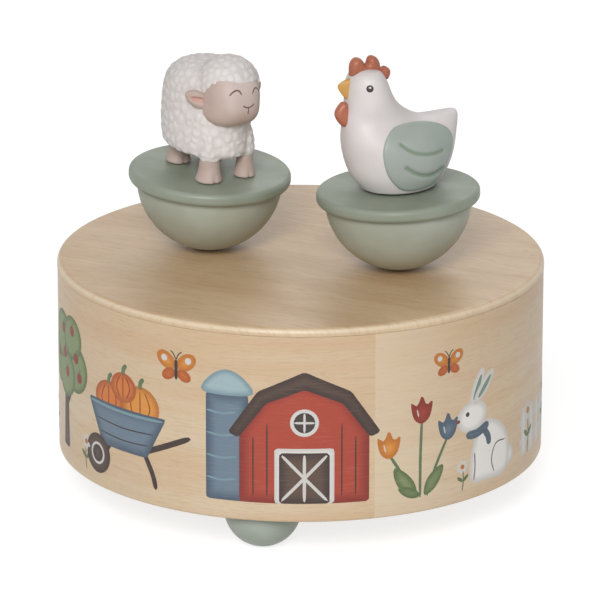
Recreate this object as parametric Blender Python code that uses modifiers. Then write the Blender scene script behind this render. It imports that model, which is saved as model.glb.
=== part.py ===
"""A drum music box whose two magnetic figures, a sheep and a hen, dance on its top board.

Metres, +Z up. The origin is the middle of the footprint, level with the flats under the three
ball feet, and the front faces -Y. The drum's own axis is the Z axis: the winding arbor, the spring
barrel and the output spindle all turn about it. The spring movement is screwed to the bottom
board. Its spindle turns an arm just under the top board, where two planet gears roll round a
fixed sun gear, and each planet holds a magnet that draws one figure over the top.
"""

import math

import bmesh
import bpy
from mathutils import Vector

# Clearances
SEAT_GAP = 0.0003  # between pieces that are fixed to one another
RUN_GAP = 0.0003  # round and beside a piece that turns
OVERRUN = 0.0010  # by which a cutter passes the face it enters
SINK = 0.0004  # by which shapes that are joined into one overlap
WELD = 0.00001  # points closer than this are one point

# Drum
DRUM_HEIGHT = 0.0487  # underside to the top board's face
UNDERSIDE = 0.0102  # height of the drum's underside over the floor
WALL_THICKNESS = 0.0080
LEDGE_WIDTH = 0.0050  # rebate that the bottom board sits in
TOP_LIP = 0.0018  # the part of the top board that shows over the wall
TOP_EDGE_ROUND = 0.0015
SPIGOT_DEPTH = 0.0017  # the part of the top board that drops inside the wall
BOTTOM_BOARD_THICKNESS = 0.0050
KEY_HOLE_RADIUS = 0.0050

# Ball feet
FOOT_RADIUS = 0.0094
FOOT_FLAT_RADIUS = 0.0020
FOOT_INSET = 0.0127  # from the drum's side in to the middle of each foot
FOOT_TURN = math.radians(-100.95)  # direction of the foot that shows at the front
FOOT_COUNT = 3
PEG_RADIUS = 0.0030
PEG_LENGTH = 0.0035

# Screws of the bottom board and of the movement
SCREW_HEAD_SHARE = 1.65  # head radius over shank radius
SCREW_HEAD_HEIGHT = 0.0012
BOARD_SCREW_RADIUS = 0.0012
BOARD_SCREW_REACH = 0.0065  # into the wall's ledge
BED_SCREW_RADIUS = 0.0014
COMB_SCREW_RADIUS = 0.0010
COMB_SCREW_REACH = 0.0042

# Bedplate of the movement
BED_THICKNESS = 0.0020
BED_LEFT = 0.0190
BED_WALL_ROOM = 0.0050  # from the bedplate's right end to the wall
BED_END_MARGIN = 0.00065  # from the governor's bracket to the bedplate's right end
BED_COMB_MARGIN = 0.0007  # from the comb's back edge to the bedplate's
BED_CORNER = 0.0070
GEAR_FLOOR_ROOM = 0.00106  # under the cylinder's largest gear

# Teeth
COARSE_MODULE = 0.0011
FINE_MODULE = 0.0006
ADDENDUM_SHARE = 0.90
DEDENDUM_SHARE = 1.20
TIP_SHARE = 0.22  # tooth thickness over tooth pitch, at the tip and at the root
ROOT_SHARE = 0.54
CROWN_TEETH = 24
PINION_TEETH = 12
END_GEAR_TEETH = 24
GOVERNOR_PINION_TEETH = 12
WORM_WHEEL_TEETH = 16
SUN_TEETH = 27
PLANET_TEETH = 18

# Winding key and arbor
KEY_HUB_RADIUS = 0.0035
KEY_HALF_SPAN = 0.0130
KEY_THICKNESS = 0.0022
KEY_FLOOR_CLEARANCE = 0.0020
KEY_BOARD_ROOM = 0.0022  # from the key's wings up to the drum
KEY_WING_ROUND = 0.0022
KEY_SOCKET_DEPTH = 0.0042
KEY_HUB_REACH = 0.0030  # of the hub above the drum's underside
ARBOR_RADIUS = 0.0019

# Spring barrel
BARREL_TOOTH_ROOM = 0.0008  # from the barrel's side to the crown's teeth
BARREL_WALL = 0.0010
BARREL_LIFT = 0.0008  # over the bedplate
CROWN_FACE = 0.0028  # radial width of the crown's teeth
CROWN_RIM = 0.0003
CROWN_THICKNESS = 0.0018
CROWN_SOCKET_DEPTH = 0.0009
SPRING_THICKNESS = 0.0004
SPRING_TURNS = 5
SPRING_SIDE_GAP = 0.0004

# Output spindle and its bridge
SPINDLE_RADIUS = 0.0015
SPINDLE_FOOT_RADIUS = 0.0032
SPINDLE_FOOT_HEIGHT = 0.0009
BRIDGE_THICKNESS = 0.0016
BRIDGE_LIFT = 0.0004
BRIDGE_HALF_WIDTH = 0.0036
BRIDGE_POST_INSET = 0.0009
BRIDGE_POST = 0.0024

# Pin cylinder and comb
CYLINDER_RADIUS = 0.0065
CYLINDER_LENGTH = 0.0180
CYLINDER_SIDES = 16
PIN_HEIGHT = 0.0006
ARBOR_WIRE_RADIUS = 0.0008  # the cylinder's and the governor wheel's arbors
PINION_FACE = 0.0032
BRACKET_THICKNESS = 0.0014
BRACKET_HALF_WIDTH = 0.0040
BRACKET_OVER_AXIS = 0.0032
SIDE_GAP = 0.0007  # between pieces side by side along the cylinder's axis
COMB_TEETH = 18
COMB_SLIT_SHARE = 0.32  # of a tooth's pitch
COMB_THICKNESS = 0.0009
COMB_BACK = 0.0208  # from the cylinder's axis to the comb's back edge
COMB_ROOT_BASS = 0.0165
COMB_ROOT_TREBLE = 0.0135
COMB_SEAT_DEPTH = 0.0042
COMB_SCREW_SHARE = 5 / 9  # spacing of the comb's screws over its width

# Governor
END_GEAR_FACE = 0.0014
WORM_WHEEL_FACE = 0.0014
WORM_WHEEL_LIFT = 0.0017  # from the gear bracket to the worm wheel
WORM_CORE_RADIUS = 0.0010
WORM_THREAD_RADIUS = 0.00145
WORM_THREAD_DEPTH = 0.0006
WORM_PITCH_RADIUS = 0.0017
WORM_TURNS = 3.5
WORM_POINTS = 10  # to a turn
FAN_HALF_SPAN = 0.0048
FAN_HEIGHT = 0.0046
FAN_THICKNESS = 0.0006
FAN_SHAFT_RADIUS = 0.0007
GOVERNOR_HALF_WIDTH = 0.0020
GOVERNOR_POST = 0.0014
GOVERNOR_ARM = 0.0015
GOVERNOR_WORM_GAP = 0.0007
GOVERNOR_RISE = 0.0158  # of the upper arm's underside over the bedplate

# Magnet drive under the top board
TRAIN_TOP_GAP = 0.0007  # from the top board down to the planet gears
TRAIN_THICKNESS = 0.0026
PLANET_FLANGE = 0.0008
PLANET_FLANGE_INSET = 0.00038  # from the roots of the planet's teeth
PLANET_PIN_RADIUS = 0.0015
ARM_THICKNESS = 0.0020
ARM_HALF_WIDTH = 0.0045
ARM_TURN = math.radians(161.4)  # direction of the sheep's planet gear at rest
SUN_BOSS_RADIUS = 0.0060
SUN_BOSS_HEIGHT = 0.0010  # of the boss inside the top board
DRIVE_MAGNET_RADIUS = 0.0040
DRIVE_MAGNET_HEIGHT = 0.0024
DRIVE_MAGNET_WALL = 0.0008  # from the magnet to the flange's edge

# Figures' cups
CUP_RADIUS = 0.0180
CUP_REST_GAP = 0.00015  # under the ball, where it touches the top board in a point
CUP_CUT = 0.0009  # from the ball's middle down to the lid's underside
LID_OVERHANG = 0.0020
LID_THICKNESS = 0.0032
LID_ROUND = 0.0012
CUP_MAGNET_RADIUS = 0.0050
CUP_MAGNET_HEIGHT = 0.0030
CUP_FLOOR = 0.0016
SHEEP_MAGNET_TURN = math.radians(-72.4)
HEN_MAGNET_TURN = math.radians(-85.3)
SHEEP_LEAN = (math.radians(3.00), math.radians(2.60))
HEN_LEAN = (math.radians(0.50), math.radians(-2.30))
SHEEP_HEADING = math.radians(-59.0)
HEN_HEADING = math.radians(-155.0)

# Sheep, whose own X axis points forward
FLEECE_TOP = 0.0278
FLEECE_BOTTOM = 0.0043
FLEECE_HALF_LENGTH = 0.0136
FLEECE_HALF_WIDTH = 0.0110
FLEECE_EGG_SHARE = -0.10  # narrower in front than behind
SHEEP_HEAD = Vector((0.0081, 0.0002, 0.0202))
SHEEP_FACE_RADII = Vector((0.0078, 0.0075, 0.0066))
SHEEP_CAP = Vector((0.0062, 0.0002, 0.0240))
SHEEP_CAP_RADII = Vector((0.0079, 0.0079, 0.0070))
SHEEP_EAR = Vector((0.0030, 0.0071, 0.0198))
SHEEP_EAR_RADII = Vector((0.0018, 0.0024, 0.0023))
SHEEP_TAIL = Vector((-0.0148, 0.0000, 0.0135))
SHEEP_TAIL_RADII = Vector((0.0026, 0.0026, 0.0036))
LEG_TOP_RADIUS = 0.0026
LEG_FOOT_RADIUS = 0.0033
LEG_HEIGHT = 0.0082
FORELEG = Vector((0.0089, 0.0050, 0.0000))
HINDLEG = Vector((-0.0068, 0.0055, 0.0000))

# Hen, whose own X axis points forward
HEN_HEIGHT = 0.0310  # to the crown of the head
HEN_HALF_WIDTH = 0.0106
WING_PROUD = 0.0006
WING_INNER_SHARE = 0.49  # of her half width, from her middle plane to the wing's inner face
WING_OUTER_SHARE = 1.32
COMB_CREST_THICKNESS = 0.0030
BEAK_THICKNESS = 0.0040
WATTLE_THICKNESS = 0.0026
HEN_EYE_SHARES = (0.303, 0.547, 0.894)  # of her height, her half width and her height
HEN_EYE_RADIUS = 0.0010

# Levels and places that follow from the sizes above. The row of pieces along the cylinder's axis
# sets the bedplate's right end, and the drum is as wide as the bedplate needs.
TOP = UNDERSIDE + DRUM_HEIGHT
BOTTOM_BOARD_TOP = UNDERSIDE + BOTTOM_BOARD_THICKNESS
WALL_TOP = TOP - TOP_LIP - SEAT_GAP
CEILING = TOP - TOP_LIP - SPIGOT_DEPTH
BED_BOTTOM = BOTTOM_BOARD_TOP + SEAT_GAP
BED_TOP = BED_BOTTOM + BED_THICKNESS
CROWN_RADIUS = CROWN_TEETH * COARSE_MODULE / 2
PINION_RADIUS = PINION_TEETH * COARSE_MODULE / 2
PINION_TIP = PINION_RADIUS + ADDENDUM_SHARE * COARSE_MODULE
END_GEAR_TIP = END_GEAR_TEETH * FINE_MODULE / 2 + ADDENDUM_SHARE * FINE_MODULE
AXIS_Z = BED_TOP + GEAR_FLOOR_ROOM + max(PINION_TIP, END_GEAR_TIP)
CROWN_PITCH_Z = AXIS_Z + PINION_RADIUS
CROWN_BOTTOM = CROWN_PITCH_Z + DEDENDUM_SHARE * COARSE_MODULE
CROWN_TOP = CROWN_BOTTOM + CROWN_THICKNESS
BARREL_RADIUS = CROWN_RADIUS - CROWN_FACE / 2 - BARREL_TOOTH_ROOM
BARREL_BOTTOM = BED_TOP + BARREL_LIFT
BARREL_TOP = CROWN_BOTTOM - SEAT_GAP
SPINDLE_BOTTOM = CROWN_TOP + SEAT_GAP
BRIDGE_BOTTOM = SPINDLE_BOTTOM + SPINDLE_FOOT_HEIGHT + BRIDGE_LIFT
TRAIN_TOP = CEILING - TRAIN_TOP_GAP
TRAIN_BOTTOM = TRAIN_TOP - TRAIN_THICKNESS
ARM_TOP = TRAIN_BOTTOM - PLANET_FLANGE - RUN_GAP
ARM_BOTTOM = ARM_TOP - ARM_THICKNESS
SPINDLE_TOP = TRAIN_TOP - 2 * SINK
PLANET_CIRCLE = (SUN_TEETH + PLANET_TEETH) * COARSE_MODULE / 2
PLANET_ROOT = PLANET_TEETH * COARSE_MODULE / 2 - DEDENDUM_SHARE * COARSE_MODULE
PLANET_FLANGE_RADIUS = PLANET_ROOT - PLANET_FLANGE_INSET
MAGNET_OFFSET = PLANET_FLANGE_RADIUS - DRIVE_MAGNET_RADIUS - DRIVE_MAGNET_WALL
PINION_X = CROWN_RADIUS - PINION_FACE / 2
BRACKET_X = CROWN_RADIUS + PINION_FACE / 2 + SIDE_GAP
CYLINDER_X = BRACKET_X + BRACKET_THICKNESS + SIDE_GAP
END_GEAR_X = CYLINDER_X + CYLINDER_LENGTH + SIDE_GAP
GEAR_BRACKET_X = END_GEAR_X + END_GEAR_FACE + SIDE_GAP
WORM_WHEEL_X = GEAR_BRACKET_X + BRACKET_THICKNESS + WORM_WHEEL_LIFT
WORM_X = WORM_WHEEL_X + WORM_WHEEL_FACE / 2
GOVERNOR_POST_X = WORM_X + WORM_THREAD_RADIUS + WORM_THREAD_DEPTH + GOVERNOR_WORM_GAP
GOVERNOR_RIGHT = GOVERNOR_POST_X + GOVERNOR_POST
BED_RIGHT = GOVERNOR_RIGHT + BED_END_MARGIN
BED_HALF_DEPTH = COMB_BACK + BED_COMB_MARGIN
WALL_INNER = BED_RIGHT + BED_WALL_ROOM
REBATE_RADIUS = WALL_INNER + LEDGE_WIDTH
DRUM_RADIUS = WALL_INNER + WALL_THICKNESS
FOOT_CIRCLE = DRUM_RADIUS - FOOT_INSET
GOVERNOR_Y = (END_GEAR_TEETH + GOVERNOR_PINION_TEETH) * FINE_MODULE / 2
WORM_Y = GOVERNOR_Y - WORM_WHEEL_TEETH * FINE_MODULE / 2 - WORM_PITCH_RADIUS
LID_RADIUS = CUP_RADIUS + LID_OVERHANG
FIGURE_FLOOR = LID_THICKNESS - CUP_CUT + SEAT_GAP  # where a figure stands, over its ball's middle

# Counts of steps round a circle
DRUM_STEPS = 60
CUP_STEPS = 36
BARREL_STEPS = 32
BALL_STEPS = 16
ROD_STEPS = 12
BALL_RINGS = 7
HALF_TURN = math.pi
QUARTER_TURN = math.pi / 2

# Paints and metals: colour, roughness, metallic
LIGHT_WOOD = ((0.62, 0.49, 0.34), 0.60, 0.0)
TOP_WOOD = ((0.56, 0.42, 0.28), 0.60, 0.0)
PLYWOOD = ((0.58, 0.45, 0.30), 0.65, 0.0)
SAGE_DARK = ((0.26, 0.33, 0.27), 0.60, 0.0)
SAGE_LIGHT = ((0.33, 0.37, 0.29), 0.60, 0.0)
SAGE_FOOT = ((0.30, 0.38, 0.32), 0.60, 0.0)
WOOL_WHITE = ((0.74, 0.71, 0.69), 0.80, 0.0)
SKIN = ((0.53, 0.40, 0.32), 0.65, 0.0)
HEN_WHITE = ((0.74, 0.70, 0.67), 0.55, 0.0)
BRICK_RED = ((0.50, 0.14, 0.08), 0.55, 0.0)
OCHRE = ((0.58, 0.34, 0.09), 0.55, 0.0)
EYE_BROWN = ((0.05, 0.03, 0.03), 0.30, 0.0)
STEEL = ((0.62, 0.62, 0.64), 0.30, 1.0)
BRASS = ((0.70, 0.53, 0.22), 0.30, 1.0)
DARK_STEEL = ((0.25, 0.26, 0.30), 0.35, 1.0)
WHITE_PLASTIC = ((0.80, 0.80, 0.78), 0.45, 0.0)


def clear_scene():
    for old in list(bpy.data.objects):
        bpy.data.objects.remove(old, do_unlink=True)


def new_collection(name):
    collection = bpy.data.collections.new(name)
    bpy.context.scene.collection.children.link(collection)
    return collection


clear_scene()
PARTS = new_collection("music_box")
CUTTERS = new_collection("cutters")


def painted(name, paint):
    """The sub-part's own material."""
    colour, roughness, metallic = paint
    material = bpy.data.materials.new(name)
    material.use_nodes = True
    shader = material.node_tree.nodes["Principled BSDF"]
    shader.inputs["Base Color"].default_value = (*colour, 1)
    shader.inputs["Roughness"].default_value = roughness
    shader.inputs["Metallic"].default_value = metallic
    material.diffuse_color = (*colour, 1)
    return material


def add_object(name, mesh, paint, place=(0, 0, 0), turn=(0, 0, 0), parent=None):
    """A part in its paint or, with no paint, a cutter or a shape to be joined."""
    piece = bpy.data.objects.new(name, mesh)
    piece.location = place
    piece.rotation_euler = turn
    piece.parent = parent
    if paint is None:
        CUTTERS.objects.link(piece)
        piece.hide_render = True
        piece.display_type = "WIRE"
    else:
        PARTS.objects.link(piece)
        mesh.materials.append(painted(name, paint))
    return piece


def cut(piece, *cutters):
    for cutter in cutters:
        modifier = piece.modifiers.new("Cut", "BOOLEAN")
        modifier.operation = "DIFFERENCE"
        modifier.object = cutter


def join(piece, *shapes):
    for shape in shapes:
        modifier = piece.modifiers.new("Join", "BOOLEAN")
        modifier.operation = "UNION"
        modifier.object = shape


def turned(name, profile, paint, steps, place=(0, 0, 0), turn=(0, 0, 0), parent=None):
    """(radius, height) points, down the outer side, turned about Z; a ring's profile closes."""
    count = len(profile)
    edges = [(i, i + 1) for i in range(count - 1)]
    if profile[0][0] > 0:
        edges.append((count - 1, 0))
    mesh = bpy.data.meshes.new(name)
    mesh.from_pydata([(radius, 0, height) for radius, height in profile], edges, [])
    piece = add_object(name, mesh, paint, place, turn, parent)
    screw = piece.modifiers.new("Turn", "SCREW")
    screw.steps = steps
    screw.render_steps = steps
    screw.use_merge_vertices = True
    screw.merge_threshold = WELD
    screw.use_smooth_shade = True
    return piece


def rod(name, radius, bottom, top, paint, steps=ROD_STEPS, **where):
    """A plain round rod from bottom to top along its own Z axis."""
    profile = [(0, top), (radius, top), (radius, bottom), (0, bottom)]
    return turned(name, profile, paint, steps, **where)


def arc(centre, radius, start, end, steps):
    """Points on a circle round a centre, from one angle to another, both ends included."""
    angles = (start + (end - start) * step / steps for step in range(steps + 1))
    return [(centre[0] + radius * math.cos(a), centre[1] + radius * math.sin(a)) for a in angles]


def circle(centre, radius, steps=ROD_STEPS):
    return arc(centre, radius, 0, 2 * HALF_TURN, steps)[:-1]


def plate(name, outlines, thickness, paint, place=(0, 0, 0), turn=(0, 0, 0), parent=None):
    """Flat outlines in X and Y, the first round the others, with the thickness half each way."""
    curve = bpy.data.curves.new(name, "CURVE")
    curve.dimensions = "2D"
    curve.fill_mode = "BOTH"
    curve.extrude = thickness / 2
    for outline in outlines:
        spline = curve.splines.new("POLY")
        spline.points.add(len(outline) - 1)
        for point, (x, y) in zip(spline.points, outline):
            point.co = (x, y, 0, 1)
        spline.use_cyclic_u = True
    drawn = bpy.data.objects.new(name + "_outline", curve)
    PARTS.objects.link(drawn)
    graph = bpy.context.evaluated_depsgraph_get()
    mesh = bpy.data.meshes.new_from_object(drawn.evaluated_get(graph))
    bpy.data.objects.remove(drawn, do_unlink=True)
    welded = bmesh.new()
    welded.from_mesh(mesh)
    bmesh.ops.remove_doubles(welded, verts=welded.verts, dist=WELD)
    bmesh.ops.recalc_face_normals(welded, faces=welded.faces)
    welded.to_mesh(mesh)
    welded.free()
    mesh.materials.clear()
    return add_object(name, mesh, paint, place, turn, parent)


def block(name, low, high, paint=None, **where):
    """A box between two corners."""
    shape = bmesh.new()
    bmesh.ops.create_cube(shape, size=1)
    low, high = Vector(low), Vector(high)
    bmesh.ops.scale(shape, vec=high - low, verts=shape.verts)
    bmesh.ops.translate(shape, vec=(high + low) / 2, verts=shape.verts)
    mesh = bpy.data.meshes.new(name)
    shape.to_mesh(mesh)
    shape.free()
    return add_object(name, mesh, paint, **where)


def ball(name, centre, radii, paint=None, steps=ROD_STEPS, rings=BALL_RINGS, parent=None):
    """An ellipsoid about a centre."""
    shape = bmesh.new()
    bmesh.ops.create_uvsphere(shape, u_segments=steps, v_segments=rings, radius=1)
    bmesh.ops.scale(shape, vec=radii, verts=shape.verts)
    mesh = bpy.data.meshes.new(name)
    shape.to_mesh(mesh)
    shape.free()
    mesh.shade_smooth()
    return add_object(name, mesh, paint, place=centre, parent=parent)


def grown(radii):
    """Radii of the socket round an ellipsoid."""
    return Vector(radii) + Vector((SEAT_GAP,) * 3)


def grown_outline(outline, gap):
    """The outline moved outwards by a gap, for the socket round a plate. It runs anticlockwise."""
    moved = []
    for index, here in enumerate(outline):
        before = Vector(outline[index - 1])
        after = Vector(outline[(index + 1) % len(outline)])
        along_in = (Vector(here) - before).normalized()
        along_out = (after - Vector(here)).normalized()
        outwards = Vector((along_in.y + along_out.y, -along_in.x - along_out.x)).normalized()
        corner = max(outwards.dot(Vector((along_in.y, -along_in.x))), 0.5)
        moved.append(tuple(Vector(here) + outwards * gap / corner))
    return moved


def gear_outline(teeth, module, phase):
    """Teeth with straight flanks. One tooth is centred on the phase."""
    pitch = 2 * HALF_TURN / teeth
    tip_radius = teeth * module / 2 + ADDENDUM_SHARE * module
    root_radius = teeth * module / 2 - DEDENDUM_SHARE * module
    corners = (
        (root_radius, -ROOT_SHARE),
        (tip_radius, -TIP_SHARE),
        (tip_radius, TIP_SHARE),
        (root_radius, ROOT_SHARE),
    )
    outline = []
    for tooth in range(teeth):
        for radius, share in corners:
            angle = phase + pitch * (tooth + share / 2)
            outline.append((radius * math.cos(angle), radius * math.sin(angle)))
    return outline


def screw_piece(name, shank, reach, place, turn, paint=STEEL):
    """A pan-head screw. Its origin is under its head, and its shank runs along its own -Z."""
    head = shank * SCREW_HEAD_SHARE
    edge = SCREW_HEAD_HEIGHT / 2
    profile = [
        (0, SCREW_HEAD_HEIGHT),
        (head - edge, SCREW_HEAD_HEIGHT),
        (head, edge),
        (head, 0),
        (shank, 0),
        (shank, -reach),
        (0, -reach),
    ]
    return turned(name, profile, paint, ROD_STEPS, place=place, turn=turn)


def on_circle(radius, angle, height=0):
    return Vector((radius * math.cos(angle), radius * math.sin(angle), height))


def foot_angles(shift=0):
    return [FOOT_TURN + shift + 2 * HALF_TURN * i / FOOT_COUNT for i in range(FOOT_COUNT)]


BOARD_SCREW_PLACES = [
    on_circle(REBATE_RADIUS - LEDGE_WIDTH / 2, angle) for angle in foot_angles(HALF_TURN / FOOT_COUNT)
]
BED_SCREW_PLACES = [
    Vector((-BED_LEFT + BED_CORNER, BED_HALF_DEPTH - BED_CORNER, 0)),
    Vector((-BED_LEFT + BED_CORNER, BED_CORNER - BED_HALF_DEPTH, 0)),
    Vector((CYLINDER_X + CYLINDER_LENGTH / 2, BED_HALF_DEPTH / 2, 0)),
]


def drum():
    """The wooden wall, and the two boards that close it."""
    wall = turned(
        "drum_wall",
        [
            (WALL_INNER, WALL_TOP),
            (DRUM_RADIUS, WALL_TOP),
            (DRUM_RADIUS, UNDERSIDE),
            (REBATE_RADIUS, UNDERSIDE),
            (REBATE_RADIUS, BOTTOM_BOARD_TOP + SEAT_GAP),
            (WALL_INNER, BOTTOM_BOARD_TOP + SEAT_GAP),
        ],
        LIGHT_WOOD,
        DRUM_STEPS,
    )
    hole = BOARD_SCREW_RADIUS + SEAT_GAP
    for place in BOARD_SCREW_PLACES:
        top = BOTTOM_BOARD_TOP + BOARD_SCREW_REACH + SEAT_GAP
        cut(wall, rod("wall_pilot", hole, BOTTOM_BOARD_TOP - OVERRUN, top, None, place=place))

    edge_middle = (DRUM_RADIUS - TOP_EDGE_ROUND, TOP - TOP_EDGE_ROUND)
    socket_radius = SUN_BOSS_RADIUS + SEAT_GAP
    socket_top = CEILING + SUN_BOSS_HEIGHT + SEAT_GAP
    profile = [(0, TOP)] + arc(edge_middle, TOP_EDGE_ROUND, QUARTER_TURN, 0, 3)
    profile += [
        (DRUM_RADIUS, TOP - TOP_LIP),
        (WALL_INNER - SEAT_GAP, TOP - TOP_LIP),
        (WALL_INNER - SEAT_GAP, CEILING),
        (socket_radius, CEILING),
        (socket_radius, socket_top),
        (0, socket_top),
    ]
    turned("top_board", profile, TOP_WOOD, DRUM_STEPS)

    board = rod(
        "bottom_board",
        REBATE_RADIUS - SEAT_GAP,
        UNDERSIDE,
        BOTTOM_BOARD_TOP,
        PLYWOOD,
        steps=DRUM_STEPS,
    )
    low, high = UNDERSIDE - OVERRUN, BOTTOM_BOARD_TOP + OVERRUN
    cut(board, rod("key_hole", KEY_HOLE_RADIUS, low, high, None, steps=BALL_STEPS))
    for place in BOARD_SCREW_PLACES:
        cut(board, rod("board_screw_hole", BOARD_SCREW_RADIUS + SEAT_GAP, low, high, None, place=place))
    for place in BED_SCREW_PLACES:
        cut(board, rod("bed_screw_hole", BED_SCREW_RADIUS + SEAT_GAP, low, high, None, place=place))
    peg_top = UNDERSIDE + PEG_LENGTH + SEAT_GAP
    for angle in foot_angles():
        place = on_circle(FOOT_CIRCLE, angle)
        cut(board, rod("peg_hole", PEG_RADIUS + SEAT_GAP, low, peg_top, None, place=place))


def feet():
    """Turned balls, each with a peg in the bottom board and a small flat to stand on."""
    middle = math.sqrt(FOOT_RADIUS**2 - FOOT_FLAT_RADIUS**2)
    seat = UNDERSIDE - SEAT_GAP
    start = math.asin((seat - middle) / FOOT_RADIUS)
    end = -math.acos(FOOT_FLAT_RADIUS / FOOT_RADIUS)
    profile = [(0, UNDERSIDE + PEG_LENGTH), (PEG_RADIUS, UNDERSIDE + PEG_LENGTH), (PEG_RADIUS, seat)]
    profile += arc((0, middle), FOOT_RADIUS, start, end, BALL_RINGS - 1)[:-1]
    profile += [(FOOT_FLAT_RADIUS, 0), (0, 0)]
    for name, angle in zip(("foot_front", "foot_right", "foot_left"), foot_angles()):
        turned(name, profile, SAGE_FOOT, BALL_STEPS, place=on_circle(FOOT_CIRCLE, angle))


def board_screws():
    upside_down = (HALF_TURN, 0, 0)
    under = UNDERSIDE - SEAT_GAP
    for index, place in enumerate(BOARD_SCREW_PLACES):
        reach = BOTTOM_BOARD_TOP + BOARD_SCREW_REACH - under
        where = place + Vector((0, 0, under))
        screw_piece(f"board_screw_{index + 1}", BOARD_SCREW_RADIUS, reach, where, upside_down)
    for index, place in enumerate(BED_SCREW_PLACES):
        reach = BED_TOP - SEAT_GAP - under
        where = place + Vector((0, 0, under))
        screw_piece(f"movement_screw_{index + 1}", BED_SCREW_RADIUS, reach, where, upside_down)


def bedplate():
    """The cast plate of the movement, with the raised seat that the comb is screwed to."""
    left, right, deep, corner = -BED_LEFT, BED_RIGHT, BED_HALF_DEPTH, BED_CORNER
    outline = [
        (left, corner - deep),
        (left + corner, -deep),
        (right - corner, -deep),
        (right, corner - deep),
        (right, deep - corner),
        (right - corner, deep),
        (left + corner, deep),
        (left, deep - corner),
    ]
    holes = [circle(place.xy, BED_SCREW_RADIUS + SEAT_GAP) for place in BED_SCREW_PLACES]
    holes.append(circle((0, 0), ARBOR_RADIUS + RUN_GAP))
    middle = (BED_BOTTOM + BED_TOP) / 2
    bed = plate("movement_bedplate", [outline, *holes], BED_THICKNESS, DARK_STEEL, place=(0, 0, middle))
    seat_top = AXIS_Z - COMB_THICKNESS / 2 - SEAT_GAP
    seat = block(
        "comb_seat",
        (CYLINDER_X, -COMB_BACK, BED_TOP - SINK),
        (CYLINDER_X + CYLINDER_LENGTH, COMB_SEAT_DEPTH - COMB_BACK, seat_top),
    )
    join(bed, seat)
    for place in comb_screw_places():
        bottom = comb_screw_tip() - SEAT_GAP
        hole = COMB_SCREW_RADIUS + SEAT_GAP
        cut(bed, rod("comb_screw_pilot", hole, bottom, seat_top + OVERRUN, None, place=(*place, 0)))


def comb_screw_places():
    middle = CYLINDER_X + CYLINDER_LENGTH / 2
    aside = CYLINDER_LENGTH * COMB_SCREW_SHARE / 2
    y = COMB_SEAT_DEPTH / 2 - COMB_BACK
    return [(middle - aside, y), (middle + aside, y)]


def comb_screw_tip():
    return AXIS_Z - COMB_SCREW_REACH


def comb():
    """The steel comb: one long tooth for each note, and tips level with the cylinder's axis."""
    pitch = CYLINDER_LENGTH / COMB_TEETH
    slit = pitch * COMB_SLIT_SHARE
    tip = -(CYLINDER_RADIUS + PIN_HEIGHT + RUN_GAP)
    end = CYLINDER_X + CYLINDER_LENGTH
    outline = [(CYLINDER_X, -COMB_BACK), (end, -COMB_BACK)]
    for tooth in range(COMB_TEETH):
        right = end - pitch * tooth - slit / 2
        left = right - pitch + slit
        share = tooth / (COMB_TEETH - 1)
        root = -(COMB_ROOT_TREBLE + (COMB_ROOT_BASS - COMB_ROOT_TREBLE) * share)
        outline += [(right, root), (right, tip), (left, tip), (left, root)]
    holes = [circle(place, COMB_SCREW_RADIUS + SEAT_GAP) for place in comb_screw_places()]
    plate("music_comb", [outline, *holes], COMB_THICKNESS, STEEL, place=(0, 0, AXIS_Z))
    head = AXIS_Z + COMB_THICKNESS / 2 + SEAT_GAP
    for index, place in enumerate(comb_screw_places()):
        reach = head - comb_screw_tip()
        screw_piece(f"comb_screw_{index + 1}", COMB_SCREW_RADIUS, reach, (*place, head), (0, 0, 0), BRASS)


def standing_plate(name, outlines, thickness, x, paint):
    """A plate across the X axis, from x to x + thickness. Its outlines are in Y and Z."""
    turn = (QUARTER_TURN, 0, QUARTER_TURN)
    return plate(name, outlines, thickness, paint, place=(x + thickness / 2, 0, 0), turn=turn)


def brackets():
    """The two upright bearings of the cylinder. The outer one carries the worm wheel too."""
    foot = BED_TOP + SEAT_GAP
    bearing = ARBOR_WIRE_RADIUS + RUN_GAP
    side, top = BRACKET_HALF_WIDTH, AXIS_Z + BRACKET_OVER_AXIS
    left = [(-side / 2, top), (-side, AXIS_Z), (-side, foot)]
    outline = [*left, (side, foot), (side, AXIS_Z), (side / 2, top)]
    standing_plate(
        "cylinder_bracket", [outline, circle((0, AXIS_Z), bearing)], BRACKET_THICKNESS, BRACKET_X, BRASS
    )
    far = GOVERNOR_Y + side
    outline = [*left, (far, foot), (far, AXIS_Z), (far - side / 2, top)]
    holes = [circle((0, AXIS_Z), bearing), circle((GOVERNOR_Y, AXIS_Z), bearing)]
    standing_plate("gear_bracket", [outline, *holes], BRACKET_THICKNESS, GEAR_BRACKET_X, BRASS)


def spindle_bridge():
    """The bent strip that steadies the output spindle over the spring barrel."""
    back = BED_HALF_DEPTH - BRIDGE_POST_INSET
    top = BRIDGE_BOTTOM + BRIDGE_THICKNESS
    outline = [
        (back - BRIDGE_POST, BED_TOP + SEAT_GAP),
        (back, BED_TOP + SEAT_GAP),
        (back, top),
        (-BRIDGE_HALF_WIDTH, top),
        (-BRIDGE_HALF_WIDTH, BRIDGE_BOTTOM),
        (back - BRIDGE_POST, BRIDGE_BOTTOM),
    ]
    bridge = standing_plate("spindle_bridge", [outline], 2 * BRIDGE_HALF_WIDTH, -BRIDGE_HALF_WIDTH, BRASS)
    hole = SPINDLE_RADIUS + RUN_GAP
    cut(bridge, rod("bridge_bearing", hole, BRIDGE_BOTTOM - OVERRUN, top + OVERRUN, None))


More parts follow.
